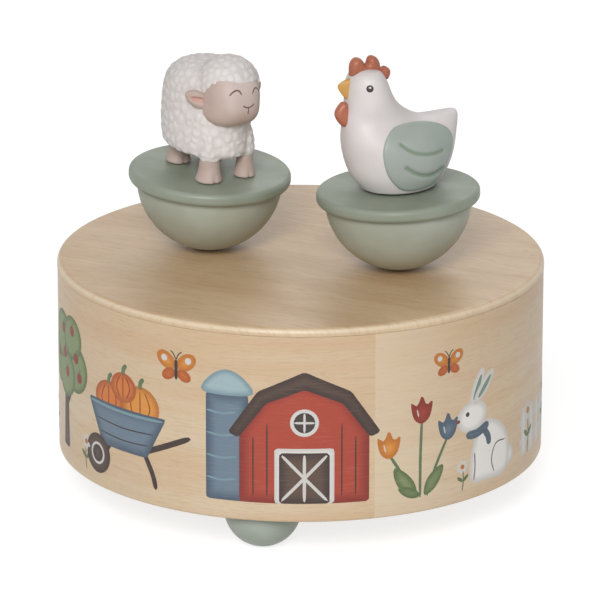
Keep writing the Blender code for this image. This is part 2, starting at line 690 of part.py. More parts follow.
def winding():
    """The key under the drum, and the arbor that it turns to wind the spring."""
    socket_top = UNDERSIDE + KEY_HUB_REACH
    socket_floor = socket_top - KEY_SOCKET_DEPTH
    socket = ARBOR_RADIUS + SEAT_GAP
    key = turned(
        "winding_key",
        [
            (0, socket_floor),
            (socket, socket_floor),
            (socket, socket_top),
            (KEY_HUB_RADIUS, socket_top),
            (KEY_HUB_RADIUS, KEY_FLOOR_CLEARANCE + SINK),
            (0, KEY_FLOOR_CLEARANCE + SINK),
        ],
        BRASS,
        ROD_STEPS,
    )
    low, high = KEY_FLOOR_CLEARANCE, UNDERSIDE - KEY_BOARD_ROOM
    side, round_ = KEY_HALF_SPAN, KEY_WING_ROUND
    outline = arc((side - round_, low + round_), round_, -QUARTER_TURN, 0, 2)
    outline += arc((side - round_, high - round_), round_, 0, QUARTER_TURN, 2)
    outline += [(0, high - round_)]
    outline += arc((round_ - side, high - round_), round_, QUARTER_TURN, HALF_TURN, 2)
    outline += arc((round_ - side, low + round_), round_, HALF_TURN, 3 * QUARTER_TURN, 2)
    join(key, plate("key_wings", [outline], KEY_THICKNESS, None, turn=(QUARTER_TURN, 0, 0)))
    top = CROWN_BOTTOM + CROWN_SOCKET_DEPTH - RUN_GAP
    rod("winding_arbor", ARBOR_RADIUS, socket_floor + SEAT_GAP, top, STEEL)


def barrel():
    """The spring barrel, its coiled spring, and the crown gear that closes it."""
    floor = BARREL_BOTTOM + BARREL_WALL
    inner = BARREL_RADIUS - BARREL_WALL
    bearing = ARBOR_RADIUS + RUN_GAP
    turned(
        "spring_barrel",
        [
            (inner, BARREL_TOP),
            (BARREL_RADIUS, BARREL_TOP),
            (BARREL_RADIUS, BARREL_BOTTOM),
            (bearing, BARREL_BOTTOM),
            (bearing, floor),
            (inner, floor),
        ],
        BRASS,
        BARREL_STEPS,
    )
    socket_top = CROWN_BOTTOM + CROWN_SOCKET_DEPTH
    rim = CROWN_RADIUS + CROWN_FACE / 2 + CROWN_RIM
    crown = turned(
        "crown_gear",
        [
            (0, CROWN_TOP),
            (rim, CROWN_TOP),
            (rim, CROWN_BOTTOM),
            (bearing, CROWN_BOTTOM),
            (bearing, socket_top),
            (0, socket_top),
        ],
        BRASS,
        CROWN_TEETH * 2,
    )
    join(crown, crown_teeth())
    mainspring(inner, floor)


def crown_teeth():
    """Wedges under the crown's rim, each narrower at its tip. One is centred on +X."""
    tooth_pitch = 2 * HALF_TURN / CROWN_TEETH
    pitch_width = CROWN_RADIUS * tooth_pitch
    height = CROWN_BOTTOM + SINK - (CROWN_PITCH_Z - ADDENDUM_SHARE * COARSE_MODULE)
    shape = bmesh.new()
    for tooth in range(CROWN_TEETH):
        made = bmesh.ops.create_cube(shape, size=1)["verts"]
        bmesh.ops.scale(shape, vec=(CROWN_FACE, pitch_width, height), verts=made)
        for corner in made:
            corner.co.y *= ROOT_SHARE if corner.co.z > 0 else TIP_SHARE
            corner.co.z += CROWN_BOTTOM + SINK - height / 2
            corner.co.x += CROWN_RADIUS
            corner.co.xy = on_circle(corner.co.x, tooth * tooth_pitch).xy + on_circle(
                corner.co.y, tooth * tooth_pitch + QUARTER_TURN
            ).xy
    mesh = bpy.data.meshes.new("crown_teeth")
    shape.to_mesh(mesh)
    shape.free()
    return add_object("crown_teeth", mesh, None)


def mainspring(inner, floor):
    """A coiled steel strip, from the arbor out to the barrel's wall."""
    start = ARBOR_RADIUS + SPRING_SIDE_GAP + SPRING_THICKNESS / 2
    end = inner - SPRING_SIDE_GAP - SPRING_THICKNESS / 2
    count = SPRING_TURNS * ROD_STEPS
    shape = bmesh.new()
    bottom = floor + SPRING_SIDE_GAP
    points = []
    for index in range(count + 1):
        share = index / count
        angle = SPRING_TURNS * 2 * HALF_TURN * share
        points.append(shape.verts.new(on_circle(start + (end - start) * share, angle, bottom)))
    edges = [shape.edges.new(pair) for pair in zip(points, points[1:])]
    raised = bmesh.ops.extrude_edge_only(shape, edges=edges)["geom"]
    lifted = [item for item in raised if isinstance(item, bmesh.types.BMVert)]
    rise = BARREL_TOP - SPRING_SIDE_GAP - bottom
    bmesh.ops.translate(shape, vec=(0, 0, rise), verts=lifted)
    mesh = bpy.data.meshes.new("mainspring")
    shape.to_mesh(mesh)
    shape.free()
    spring = add_object("mainspring", mesh, DARK_STEEL)
    strip = spring.modifiers.new("Strip", "SOLIDIFY")
    strip.thickness = SPRING_THICKNESS
    strip.offset = 0


def output_shaft():
    """The spindle on the crown gear, and the arm that carries the two planet gears."""
    foot_top = SPINDLE_BOTTOM + SPINDLE_FOOT_HEIGHT
    turned(
        "output_spindle",
        [
            (0, SPINDLE_TOP),
            (SPINDLE_RADIUS, SPINDLE_TOP),
            (SPINDLE_RADIUS, foot_top),
            (SPINDLE_FOOT_RADIUS, foot_top),
            (SPINDLE_FOOT_RADIUS, SPINDLE_BOTTOM),
            (0, SPINDLE_BOTTOM),
        ],
        STEEL,
        ROD_STEPS,
    )
    outline = arc((PLANET_CIRCLE, 0), ARM_HALF_WIDTH, -QUARTER_TURN, QUARTER_TURN, 6)
    outline += arc((-PLANET_CIRCLE, 0), ARM_HALF_WIDTH, QUARTER_TURN, 3 * QUARTER_TURN, 6)
    pin_hole = PLANET_PIN_RADIUS + RUN_GAP
    holes = [
        circle((0, 0), SPINDLE_RADIUS + SEAT_GAP),
        circle((PLANET_CIRCLE, 0), pin_hole),
        circle((-PLANET_CIRCLE, 0), pin_hole),
    ]
    middle = (ARM_TOP + ARM_BOTTOM) / 2
    plate(
        "carrier_arm",
        [outline, *holes],
        ARM_THICKNESS,
        WHITE_PLASTIC,
        place=(0, 0, middle),
        turn=(0, 0, ARM_TURN),
    )


def pin_cylinder():
    """A grid bent round into the cylinder. Its pins are raised where the tune plays a note."""
    shape = bmesh.new()
    bmesh.ops.create_grid(shape, x_segments=COMB_TEETH, y_segments=CYLINDER_SIDES, size=0.5)
    notes = []
    for face in shape.faces:
        middle = face.calc_center_median()
        column = int((middle.x + 0.5) * COMB_TEETH)
        row = int((middle.y + 0.5) * CYLINDER_SIDES)
        if (row * 5 + column * 7) % 11 == 0:
            notes.append(face)
    for corner in shape.verts:
        along = CYLINDER_LENGTH * (corner.co.x + 0.5)
        corner.co = on_circle(CYLINDER_RADIUS, 2 * HALF_TURN * corner.co.y, along)
    bmesh.ops.remove_doubles(shape, verts=shape.verts, dist=WELD)
    bmesh.ops.holes_fill(shape, edges=[edge for edge in shape.edges if edge.is_boundary])
    bmesh.ops.recalc_face_normals(shape, faces=shape.faces)
    bmesh.ops.poke(shape, faces=[face for face in notes if face.is_valid], offset=PIN_HEIGHT)
    mesh = bpy.data.meshes.new("pin_cylinder")
    shape.to_mesh(mesh)
    shape.free()
    lying = (0, QUARTER_TURN, 0)
    cylinder = add_object("pin_cylinder", mesh, BRASS, place=(CYLINDER_X, 0, AXIS_Z), turn=lying)
    arbor = rod(
        "cylinder_arbor",
        ARBOR_WIRE_RADIUS,
        PINION_X - SIDE_GAP / 2,
        GEAR_BRACKET_X + BRACKET_THICKNESS,
        None,
        place=(0, 0, AXIS_Z),
        turn=lying,
    )
    join(cylinder, arbor)


def lying_gear(name, teeth, module, face, x, y, phase, paint, bore=0):
    """A gear whose axis lies along X. Its own angle 0 points down, and a quarter turn points to +Y."""
    outlines = [gear_outline(teeth, module, phase)]
    if bore:
        outlines.append(circle((0, 0), bore))
    place = (x + face / 2, y, AXIS_Z)
    return plate(name, outlines, face, paint, place=place, turn=(0, QUARTER_TURN, 0))


def cylinder_gears():
    """The pinion that the crown turns, and the gear that drives the governor."""
    bore = ARBOR_WIRE_RADIUS + SEAT_GAP
    half_tooth = HALF_TURN / PINION_TEETH
    lying_gear(
        "cylinder_pinion", PINION_TEETH, COARSE_MODULE, PINION_FACE, PINION_X, 0, half_tooth, BRASS, bore
    )
    lying_gear(
        "cylinder_gear", END_GEAR_TEETH, FINE_MODULE, END_GEAR_FACE, END_GEAR_X, 0, 0, BRASS, bore
    )


def governor():
    """The worm wheel, the worm with its fan, and the bracket that holds the worm."""
    half_tooth = HALF_TURN / GOVERNOR_PINION_TEETH
    wheel = lying_gear(
        "worm_wheel", WORM_WHEEL_TEETH, FINE_MODULE, WORM_WHEEL_FACE, WORM_WHEEL_X, GOVERNOR_Y, 0, BRASS
    )
    pinion = lying_gear(
        "governor_pinion",
        GOVERNOR_PINION_TEETH,
        FINE_MODULE,
        END_GEAR_FACE,
        END_GEAR_X,
        GOVERNOR_Y,
        half_tooth,
        None,
    )
    arbor = rod(
        "governor_arbor",
        ARBOR_WIRE_RADIUS,
        END_GEAR_X - SINK,
        WORM_WHEEL_X + WORM_WHEEL_FACE + SINK,
        None,
        place=(0, GOVERNOR_Y, AXIS_Z),
        turn=(0, QUARTER_TURN, 0),
    )
    join(wheel, arbor, pinion)

    lead = 2 * HALF_TURN * FINE_MODULE / 2
    arm_bottom = BED_TOP + GOVERNOR_RISE
    arm_top = arm_bottom + GOVERNOR_ARM
    foot_top = BED_TOP + SEAT_GAP + GOVERNOR_ARM
    place = (WORM_X, WORM_Y, 0)
    worm_half = (WORM_TURNS + 1) * lead / 2
    low, high = AXIS_Z - worm_half, AXIS_Z + worm_half
    fan = rod("governor_fan", WORM_CORE_RADIUS, low, high, WHITE_PLASTIC, place=place)
    shaft_bottom = BED_TOP + 2 * SEAT_GAP
    fan_bottom = arm_top + SIDE_GAP
    shaft_top = fan_bottom + FAN_HEIGHT + SINK
    shaft = rod("fan_shaft", FAN_SHAFT_RADIUS, shaft_bottom, shaft_top, None, place=place)
    blades = block(
        "fan_blades",
        (-FAN_HALF_SPAN, -FAN_THICKNESS / 2, fan_bottom),
        (FAN_HALF_SPAN, FAN_THICKNESS / 2, fan_bottom + FAN_HEIGHT),
        place=place,
    )
    join(fan, worm_thread(lead, place), shaft, blades)

    near = WORM_X - WORM_THREAD_RADIUS
    post = GOVERNOR_POST_X
    outline = [
        (near, BED_TOP + SEAT_GAP),
        (GOVERNOR_RIGHT, BED_TOP + SEAT_GAP),
        (GOVERNOR_RIGHT, arm_top),
        (near, arm_top),
        (near, arm_bottom),
        (post, arm_bottom),
        (post, foot_top),
        (near, foot_top),
    ]
    bracket = plate(
        "governor_bracket",
        [outline],
        2 * GOVERNOR_HALF_WIDTH,
        BRASS,
        place=(0, WORM_Y, 0),
        turn=(QUARTER_TURN, 0, 0),
    )
    hole = FAN_SHAFT_RADIUS + RUN_GAP
    cut(bracket, rod("worm_bearing", hole, BED_TOP - OVERRUN, arm_top + OVERRUN, None, place=place))


def worm_thread(lead, place):
    """The right-handed thread, a four-sided coil that crosses the wheel's side between its teeth."""
    curve = bpy.data.curves.new("worm_thread", "CURVE")
    curve.dimensions = "3D"
    curve.bevel_depth = WORM_THREAD_DEPTH
    curve.bevel_resolution = 0
    curve.use_fill_caps = True
    count = int(WORM_TURNS * WORM_POINTS)
    spline = curve.splines.new("POLY")
    spline.points.add(count)
    for index, point in enumerate(spline.points):
        turns = index / WORM_POINTS - WORM_TURNS / 2
        angle = QUARTER_TURN + 2 * HALF_TURN * turns
        height = AXIS_Z + lead * (turns + 0.5)
        point.co = (*on_circle(WORM_THREAD_RADIUS, angle, height), 1)
    drawn = bpy.data.objects.new("worm_thread_line", curve)
    PARTS.objects.link(drawn)
    graph = bpy.context.evaluated_depsgraph_get()
    mesh = bpy.data.meshes.new_from_object(drawn.evaluated_get(graph))
    bpy.data.objects.remove(drawn, do_unlink=True)
    welded = bmesh.new()
    welded.from_mesh(mesh)
    bmesh.ops.remove_doubles(welded, verts=welded.verts, dist=WELD)
    bmesh.ops.recalc_face_normals(welded, faces=welded.faces)
    welded.to_mesh(mesh)
    welded.free()
    return add_object("worm_thread", mesh, None, place=place)


def magnet_drive():
    """The fixed sun gear, glued by its boss into the top board, and the planets round it."""
    middle = (TRAIN_TOP + TRAIN_BOTTOM) / 2
    bore = SPINDLE_RADIUS + RUN_GAP
    sun = plate(
        "sun_gear",
        [gear_outline(SUN_TEETH, COARSE_MODULE, ARM_TURN), circle((0, 0), bore)],
        TRAIN_THICKNESS,
        WHITE_PLASTIC,
        place=(0, 0, middle),
    )
    boss_top = CEILING + SUN_BOSS_HEIGHT
    join(sun, rod("sun_boss", SUN_BOSS_RADIUS, TRAIN_TOP - SINK, boss_top, None, steps=BALL_STEPS))
    half_tooth = HALF_TURN / PLANET_TEETH
    planet("sheep", ARM_TURN, ARM_TURN + HALF_TURN + half_tooth, SHEEP_MAGNET_TURN)
    planet("hen", ARM_TURN + HALF_TURN, ARM_TURN, HEN_MAGNET_TURN)


def magnet_place(arm_turn, magnet_turn):
    """Middle of a drive magnet at rest, which is where its figure's ball rests above."""
    return on_circle(PLANET_CIRCLE, arm_turn) + on_circle(MAGNET_OFFSET, magnet_turn)


def planet(figure, arm_turn, phase, magnet_turn):
    """A planet gear on the arm, with its flange, its pin, and the magnet in its pocket."""
    place = on_circle(PLANET_CIRCLE, arm_turn, (TRAIN_TOP + TRAIN_BOTTOM) / 2)
    pocket = on_circle(MAGNET_OFFSET, magnet_turn)
    gear = plate(
        f"planet_gear_{figure}",
        [
            gear_outline(PLANET_TEETH, COARSE_MODULE, phase),
            circle(pocket.xy, DRIVE_MAGNET_RADIUS + SEAT_GAP, BALL_STEPS),
        ],
        TRAIN_THICKNESS,
        WHITE_PLASTIC,
        place=place,
    )
    flange_top = SINK - TRAIN_THICKNESS / 2
    flange_bottom = -TRAIN_THICKNESS / 2 - PLANET_FLANGE
    pin_bottom = ARM_BOTTOM + SEAT_GAP - place.z
    flange = turned(
        f"planet_flange_{figure}",
        [
            (0, flange_top),
            (PLANET_FLANGE_RADIUS, flange_top),
            (PLANET_FLANGE_RADIUS, flange_bottom),
            (PLANET_PIN_RADIUS, flange_bottom),
            (PLANET_PIN_RADIUS, pin_bottom),
            (0, pin_bottom),
        ],
        None,
        BALL_STEPS,
        place=place,
    )
    join(gear, flange)
    magnet_bottom = flange_top + SEAT_GAP
    rod(
        f"drive_magnet_{figure}",
        DRIVE_MAGNET_RADIUS,
        magnet_bottom,
        magnet_bottom + DRIVE_MAGNET_HEIGHT,
        DARK_STEEL,
        steps=BALL_STEPS,
        place=pocket,
        parent=gear,
    )


def figure_frame(name, arm_turn, magnet_turn, lean, heading):
    """An empty in the middle of a figure's ball, with the lean that the figure has at rest."""
    frame = bpy.data.objects.new(name, None)
    PARTS.objects.link(frame)
    frame.location = magnet_place(arm_turn, magnet_turn) + Vector((0, 0, TOP + CUP_REST_GAP + CUP_RADIUS))
    frame.rotation_mode = "ZYX"
    frame.rotation_euler = (*lean, heading)
    return frame


def cup(figure, frame):
    """The half ball that the figure rocks on, the magnet at its bottom, and its lid."""
    rim = -CUP_CUT - SEAT_GAP
    bore = CUP_MAGNET_RADIUS + SEAT_GAP
    floor = CUP_FLOOR - CUP_RADIUS
    profile = [(0, floor), (bore, floor), (bore, rim)]
    profile += arc((0, 0), CUP_RADIUS, math.asin(rim / CUP_RADIUS), -QUARTER_TURN, BALL_RINGS)[:-1]
    profile += [(0, -CUP_RADIUS)]
    turned(f"{figure}_cup", profile, SAGE_LIGHT, CUP_STEPS, parent=frame)
    low = floor + SEAT_GAP
    rod(
        f"{figure}_magnet",
        CUP_MAGNET_RADIUS,
        low,
        low + CUP_MAGNET_HEIGHT,
        DARK_STEEL,
        steps=BALL_STEPS,
        parent=frame,
    )
    top = LID_THICKNESS - CUP_CUT
    inset = LID_RADIUS - LID_ROUND
    profile = [(0, top)]
    profile += arc((inset, top - LID_ROUND), LID_ROUND, QUARTER_TURN, 0, 2)
    profile += arc((inset, LID_ROUND - CUP_CUT), LID_ROUND, 0, -QUARTER_TURN, 2)
    profile += [(0, -CUP_CUT)]
    turned(f"{figure}_lid", profile, SAGE_DARK, CUP_STEPS, parent=frame)


def loft(name, rings, paint, parent, smooth=1):
    """A closed skin through rings of points, from the lowest ring to the highest, then rounded."""
    shape = bmesh.new()
    loops = []
    for ring in rings:
        corners = [shape.verts.new(point) for point in ring]
        loops.append([shape.edges.new((corners[i - 1], corners[i])) for i in range(len(corners))])
    for lower, upper in zip(loops, loops[1:]):
        bmesh.ops.bridge_loops(shape, edges=lower + upper)
    bmesh.ops.holes_fill(shape, edges=loops[0] + loops[-1])
    bmesh.ops.recalc_face_normals(shape, faces=shape.faces)
    mesh = bpy.data.meshes.new(name)
    shape.to_mesh(mesh)
    shape.free()
    mesh.shade_smooth()
    piece = add_object(name, mesh, paint, parent=parent)
    rounded = piece.modifiers.new("Rounded", "SUBSURF")
    rounded.levels = smooth
    rounded.render_levels = smooth
    return piece


# Shares of the fleece: height between its bottom and its top, half length, half width, and how far
# forward its middle lies as a share of the half length
FLEECE_RING_SHARES = (
    (0.00, 0.80, 0.80, -0.03),
    (0.05, 1.00, 1.00, -0.05),
    (0.22, 1.06, 1.06, -0.07),
    (0.55, 1.06, 1.06, -0.07),
    (0.80, 0.96, 0.95, -0.04),
    (0.95, 0.72, 0.72, 0.00),
    (1.01, 0.36, 0.36, 0.00),
)
RING_POINTS = 12


def fleece_rings(base):
    rings = []
    for height, length, width, shift in FLEECE_RING_SHARES:
        z = base + FLEECE_BOTTOM + (FLEECE_TOP - FLEECE_BOTTOM) * height
        ring = []
        for index in range(RING_POINTS):
            angle = 2 * HALF_TURN * index / RING_POINTS
            along = math.cos(angle)
            across = width * math.sin(angle) * (1 + FLEECE_EGG_SHARE * along)
            ring.append((FLEECE_HALF_LENGTH * (shift + length * along), FLEECE_HALF_WIDTH * across, z))
        rings.append(ring)
    return rings


def mirrored(place):
    return Vector((place.x, -place.y, place.z))


def sheep(frame):
    """The white fleece with sockets for the face, the ears and the legs that it is cast round."""
    base = FIGURE_FLOOR
    lifted = Vector((0, 0, base))
    fleece = loft("sheep_fleece", fleece_rings(base), WOOL_WHITE, frame)
    join(
        fleece,
        ball("sheep_cap", SHEEP_CAP + lifted, SHEEP_CAP_RADII, steps=BALL_STEPS, parent=frame),
        ball("sheep_tail", SHEEP_TAIL + lifted, SHEEP_TAIL_RADII, parent=frame),
    )
    face_place = SHEEP_HEAD + lifted
    ball("sheep_face", face_place, SHEEP_FACE_RADII, SKIN, steps=BALL_STEPS, parent=frame)
    face_room = ball("face_room", face_place, grown(SHEEP_FACE_RADII), steps=BALL_STEPS, parent=frame)
    cut(fleece, face_room)
    for side, ear in (("left", SHEEP_EAR), ("right", mirrored(SHEEP_EAR))):
        place = ear + lifted
        cut(ball(f"sheep_ear_{side}", place, SHEEP_EAR_RADII, SKIN, parent=frame), face_room)
        cut(fleece, ball(f"ear_socket_{side}", place, grown(SHEEP_EAR_RADII), parent=frame))
    legs = (
        ("foreleg_left", FORELEG),
        ("foreleg_right", mirrored(FORELEG)),
        ("hindleg_left", HINDLEG),
        ("hindleg_right", mirrored(HINDLEG)),
    )
    for name, leg in legs:
        place = leg + lifted
        profile = [(0, LEG_HEIGHT), (LEG_TOP_RADIUS, LEG_HEIGHT), (LEG_TOP_RADIUS, LEG_HEIGHT / 2)]
        profile += [(LEG_FOOT_RADIUS, 0), (0, 0)]
        turned(f"sheep_{name}", profile, SKIN, ROD_STEPS, place=place, parent=frame)
        hole = LEG_TOP_RADIUS + SEAT_GAP
        socket_top = LEG_HEIGHT + SEAT_GAP
        socket = rod(f"{name}_socket", hole, LEG_HEIGHT / 2, socket_top, None, place=place, parent=frame)
        cut(fleece, socket)


# Shares of the hen's height: the ring's front x and z, its back x and z, its half width as a share
# of the hen's half width, and how much wider it is in front than behind
HEN_RING_SHARES = (
    (0.29, 0.00, -0.31, 0.00, 0.80, 0.00),
    (0.31, 0.02, -0.33, 0.02, 0.84, 0.00),
    (0.40, 0.12, -0.43, 0.12, 1.00, 0.02),
    (0.445, 0.23, -0.50, 0.26, 1.06, 0.06),
    (0.47, 0.35, -0.54, 0.44, 1.00, 0.16),
    (0.475, 0.48, -0.57, 0.58, 0.80, 0.42),
    (0.46, 0.62, -0.27, 0.54, 0.66, 0.36),
    (0.43, 0.71, -0.01, 0.65, 0.66, 0.10),
    (0.405, 0.81, 0.07, 0.80, 0.62, 0.00),
    (0.38, 0.91, 0.13, 0.90, 0.56, 0.00),
    (0.32, 0.975, 0.19, 0.965, 0.34, 0.00),
)


def hen_rings(base, proud=0.0):
    rings = []
    for front_x, front_z, back_x, back_z, width, egg in HEN_RING_SHARES:
        front = Vector((front_x, 0, front_z)) * HEN_HEIGHT
        back = Vector((back_x, 0, back_z)) * HEN_HEIGHT
        middle, reach = (front + back) / 2, (front - back) / 2
        half_width = HEN_HALF_WIDTH * width + proud
        ring = []
        for index in range(RING_POINTS):
            angle = 2 * HALF_TURN * index / RING_POINTS
            along = math.cos(angle)
            point = middle + reach * along
            point.y = half_width * math.sin(angle) * (1 + egg * along)
            point.z += base
            ring.append(point)
        rings.append(ring)
    return rings


# Outlines on the hen's middle plane, as shares of her height, anticlockwise with forward to the right
CREST_SHARES = (
    (0.11, 0.86),
    (0.20, 0.89),
    (0.30, 0.93),
    (0.36, 0.98),
    (0.36, 1.045),
    (0.335, 1.095),
    (0.29, 1.095),
    (0.255, 1.045),
    (0.225, 1.095),
    (0.18, 1.10),
    (0.145, 1.045),
    (0.135, 0.985),
    (0.09, 0.975),
    (0.06, 0.95),
    (0.06, 0.90),
)
BEAK_SHARES = ((0.355, 0.795), (0.43, 0.805), (0.465, 0.885), (0.415, 0.925), (0.355, 0.895))
WATTLE_SHARES = (
    (0.41, 0.575),
    (0.455, 0.575),
    (0.495, 0.63),
    (0.505, 0.68),
    (0.465, 0.735),
    (0.44, 0.75),
    (0.40, 0.73),
)
WING_SHARES = (
    (0.02, 0.06),
    (0.11, 0.14),
    (0.17, 0.26),
    (0.19, 0.37),
    (0.155, 0.49),
    (0.05, 0.585),
    (-0.08, 0.60),
    (-0.24, 0.555),
    (-0.335, 0.46),
    (-0.365, 0.35),
    (-0.325, 0.21),
    (-0.22, 0.095),
    (-0.09, 0.045),
)


def side_outline(shares):
    return [(x * HEN_HEIGHT, z * HEN_HEIGHT) for x, z in shares]


def upright_plate(name, outline, near, far, paint, frame):
    """A plate in the hen's X and Z, from near to far along her own Y axis."""
    place = (0, (near + far) / 2, FIGURE_FLOOR)
    return plate(name, [outline], far - near, paint, place=place, turn=(QUARTER_TURN, 0, 0), parent=frame)


def hen(frame):
    """The white hen with sockets for her wings, crest, beak, wattle and eyes."""
    body = loft("hen_body", hen_rings(FIGURE_FLOOR), HEN_WHITE, frame)
    trims = (
        ("hen_crest", CREST_SHARES, COMB_CREST_THICKNESS, BRICK_RED),
        ("hen_beak", BEAK_SHARES, BEAK_THICKNESS, OCHRE),
        ("hen_wattle", WATTLE_SHARES, WATTLE_THICKNESS, BRICK_RED),
    )
    for name, shares, thickness, paint in trims:
        outline = side_outline(shares)
        half = thickness / 2
        upright_plate(name, outline, -half, half, paint, frame)
        wider = half + SEAT_GAP
        room = grown_outline(outline, SEAT_GAP)
        cut(body, upright_plate(f"{name}_socket", room, -wider, wider, None, frame))
    outline = side_outline(WING_SHARES)
    room = grown_outline(outline, SEAT_GAP)
    swollen = loft("wing_skin", hen_rings(FIGURE_FLOOR, WING_PROUD), None, frame)
    inner, outer = HEN_HALF_WIDTH * WING_INNER_SHARE, HEN_HALF_WIDTH * WING_OUTER_SHARE
    for side, sign in (("left", 1), ("right", -1)):
        near, far = sorted((sign * inner, sign * outer))
        wing = upright_plate(f"hen_wing_{side}", outline, near, far, SAGE_FOOT, frame)
        shaped = wing.modifiers.new("Shaped", "BOOLEAN")
        shaped.operation = "INTERSECT"
        shaped.object = swollen
        near, far = sorted((sign * (inner - SEAT_GAP), sign * (outer + OVERRUN)))
        cut(body, upright_plate(f"wing_room_{side}", room, near, far, None, frame))
    forward, aside, up = HEN_EYE_SHARES
    eye = Vector((forward * HEN_HEIGHT, aside * HEN_HALF_WIDTH, up * HEN_HEIGHT + FIGURE_FLOOR))
    for side, place in (("left", eye), ("right", mirrored(eye))):
        radii = (HEN_EYE_RADIUS,) * 3
        ball(f"hen_eye_{side}", place, radii, EYE_BROWN, steps=BALL_RINGS, rings=6, parent=frame)
        socket = ball(f"eye_socket_{side}", place, grown(radii), steps=BALL_RINGS, rings=6, parent=frame)
        cut(body, socket)


def figures():
    frame = figure_frame("sheep_frame", ARM_TURN, SHEEP_MAGNET_TURN, SHEEP_LEAN, SHEEP_HEADING)
    cup("sheep", frame)
    sheep(frame)
    frame = figure_frame("hen_frame", ARM_TURN + HALF_TURN, HEN_MAGNET_TURN, HEN_LEAN, HEN_HEADING)
    cup("hen", frame)
    hen(frame)


drum()
feet()
board_screws()
bedplate()
comb()
brackets()
spindle_bridge()
winding()
barrel()
output_shaft()
pin_cylinder()
cylinder_gears()
governor()
magnet_drive()
figures()
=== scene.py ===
"""Looks of a drum music box with two dancing figures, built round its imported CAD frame.

All sizes are in millimetres and all colours are written as they look on screen, from 0 to 255.
The front of the drum faces -Y. A figure's own X axis points forward, its Y axis to its left.
"""

import math
import random

import bpy
import numpy as np
from mathutils import Euler, Matrix, Vector, geometry, kdtree, noise
from mathutils.bvhtree import BVHTree


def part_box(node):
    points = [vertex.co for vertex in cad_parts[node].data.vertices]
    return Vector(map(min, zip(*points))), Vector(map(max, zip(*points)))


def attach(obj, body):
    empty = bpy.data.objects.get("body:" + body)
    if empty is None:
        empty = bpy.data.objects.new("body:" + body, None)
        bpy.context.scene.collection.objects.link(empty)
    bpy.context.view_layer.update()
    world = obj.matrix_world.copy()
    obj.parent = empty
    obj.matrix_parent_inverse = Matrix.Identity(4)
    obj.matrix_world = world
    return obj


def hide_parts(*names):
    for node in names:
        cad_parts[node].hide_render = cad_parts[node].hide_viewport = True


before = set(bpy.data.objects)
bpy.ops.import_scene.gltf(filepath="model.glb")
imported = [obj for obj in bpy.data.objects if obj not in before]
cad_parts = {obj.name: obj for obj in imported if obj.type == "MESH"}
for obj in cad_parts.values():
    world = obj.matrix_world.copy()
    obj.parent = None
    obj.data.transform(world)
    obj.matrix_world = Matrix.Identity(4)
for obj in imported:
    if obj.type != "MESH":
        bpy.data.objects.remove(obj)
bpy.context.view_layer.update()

MM = 0.001
TURN = 2 * math.pi
QUARTER = math.pi / 2


def corners(node):
    """Lowest and highest corner of a CAD node, in millimetres."""
    low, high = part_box(node)
    return low / MM, high / MM


# Levels and radii of the drum, from the frame
TOP = corners("top_board")[1].z
RIM_RADIUS = corners("top_board")[1].x
UNDERSIDE, WALL_TOP = corners("drum_wall")[0].z, corners("drum_wall")[1].z
REBATE_GAP = 0.3
REBATE_RADIUS = corners("bottom_board")[1].x + REBATE_GAP
WALL_RADIUS = RIM_RADIUS - 0.10  # so that the print on it stays inside the rim

# Figures: middle of each ball, its lean and its heading
BALL_RADIUS = 18.0
LID_RADIUS = 20.0
LID_BOTTOM, LID_TOP, LID_ROUND = -0.9, 2.3, 1.2
STAND = 2.6  # where a figure stands, over its ball's middle
BALL_LEVEL = TOP + 0.15 + BALL_RADIUS  # with the frame's gap under the ball
SHEEP_BALL = Vector((-22.429, 4.653, BALL_LEVEL))
SHEEP_TURN = Euler(map(math.radians, (3.0, 2.6, -59.0)), "ZYX")
HEN_BALL = Vector((23.736, -11.283, BALL_LEVEL))
HEN_TURN = Euler(map(math.radians, (0.5, -2.3, -155.0)), "ZYX")

# Camera, fitted to the photograph
CAMERA_DISTANCE = 1382.212  # from the middle of the top board
CAMERA_ELEVATION = math.radians(17.4053)
CAMERA_PITCH = math.radians(0.47782)  # below the top board's middle
CAMERA_YAW = math.radians(-0.005927)
CAMERA_ROLL = math.radians(0.120985)
CAMERA_LENS, CAMERA_SENSOR = 336.57, 36.0
CAMERA_CLIP = 0.05, 20.0  # in metres


# Materials


def linear(colour):
    """The linear values of a colour that is written as it looks on screen."""
    parts = [c / 255 for c in colour]
    return [c / 12.92 if c <= 0.04045 else ((c + 0.055) / 1.055) ** 2.4 for c in parts] + [1.0]


def new_node(tree, kind, inputs=None, **settings):
    """A shader node, each input linked from a socket or from a node's first one, or set."""
    made = tree.nodes.new("ShaderNode" + kind)
    for key, value in settings.items():
        setattr(made, key, value)
    for key, value in (inputs or {}).items():
        if isinstance(value, bpy.types.Node):
            value = value.outputs[0]
        if isinstance(value, bpy.types.NodeSocket):
            tree.links.new(value, made.inputs[key])
        else:
            made.inputs[key].default_value = value
    return made


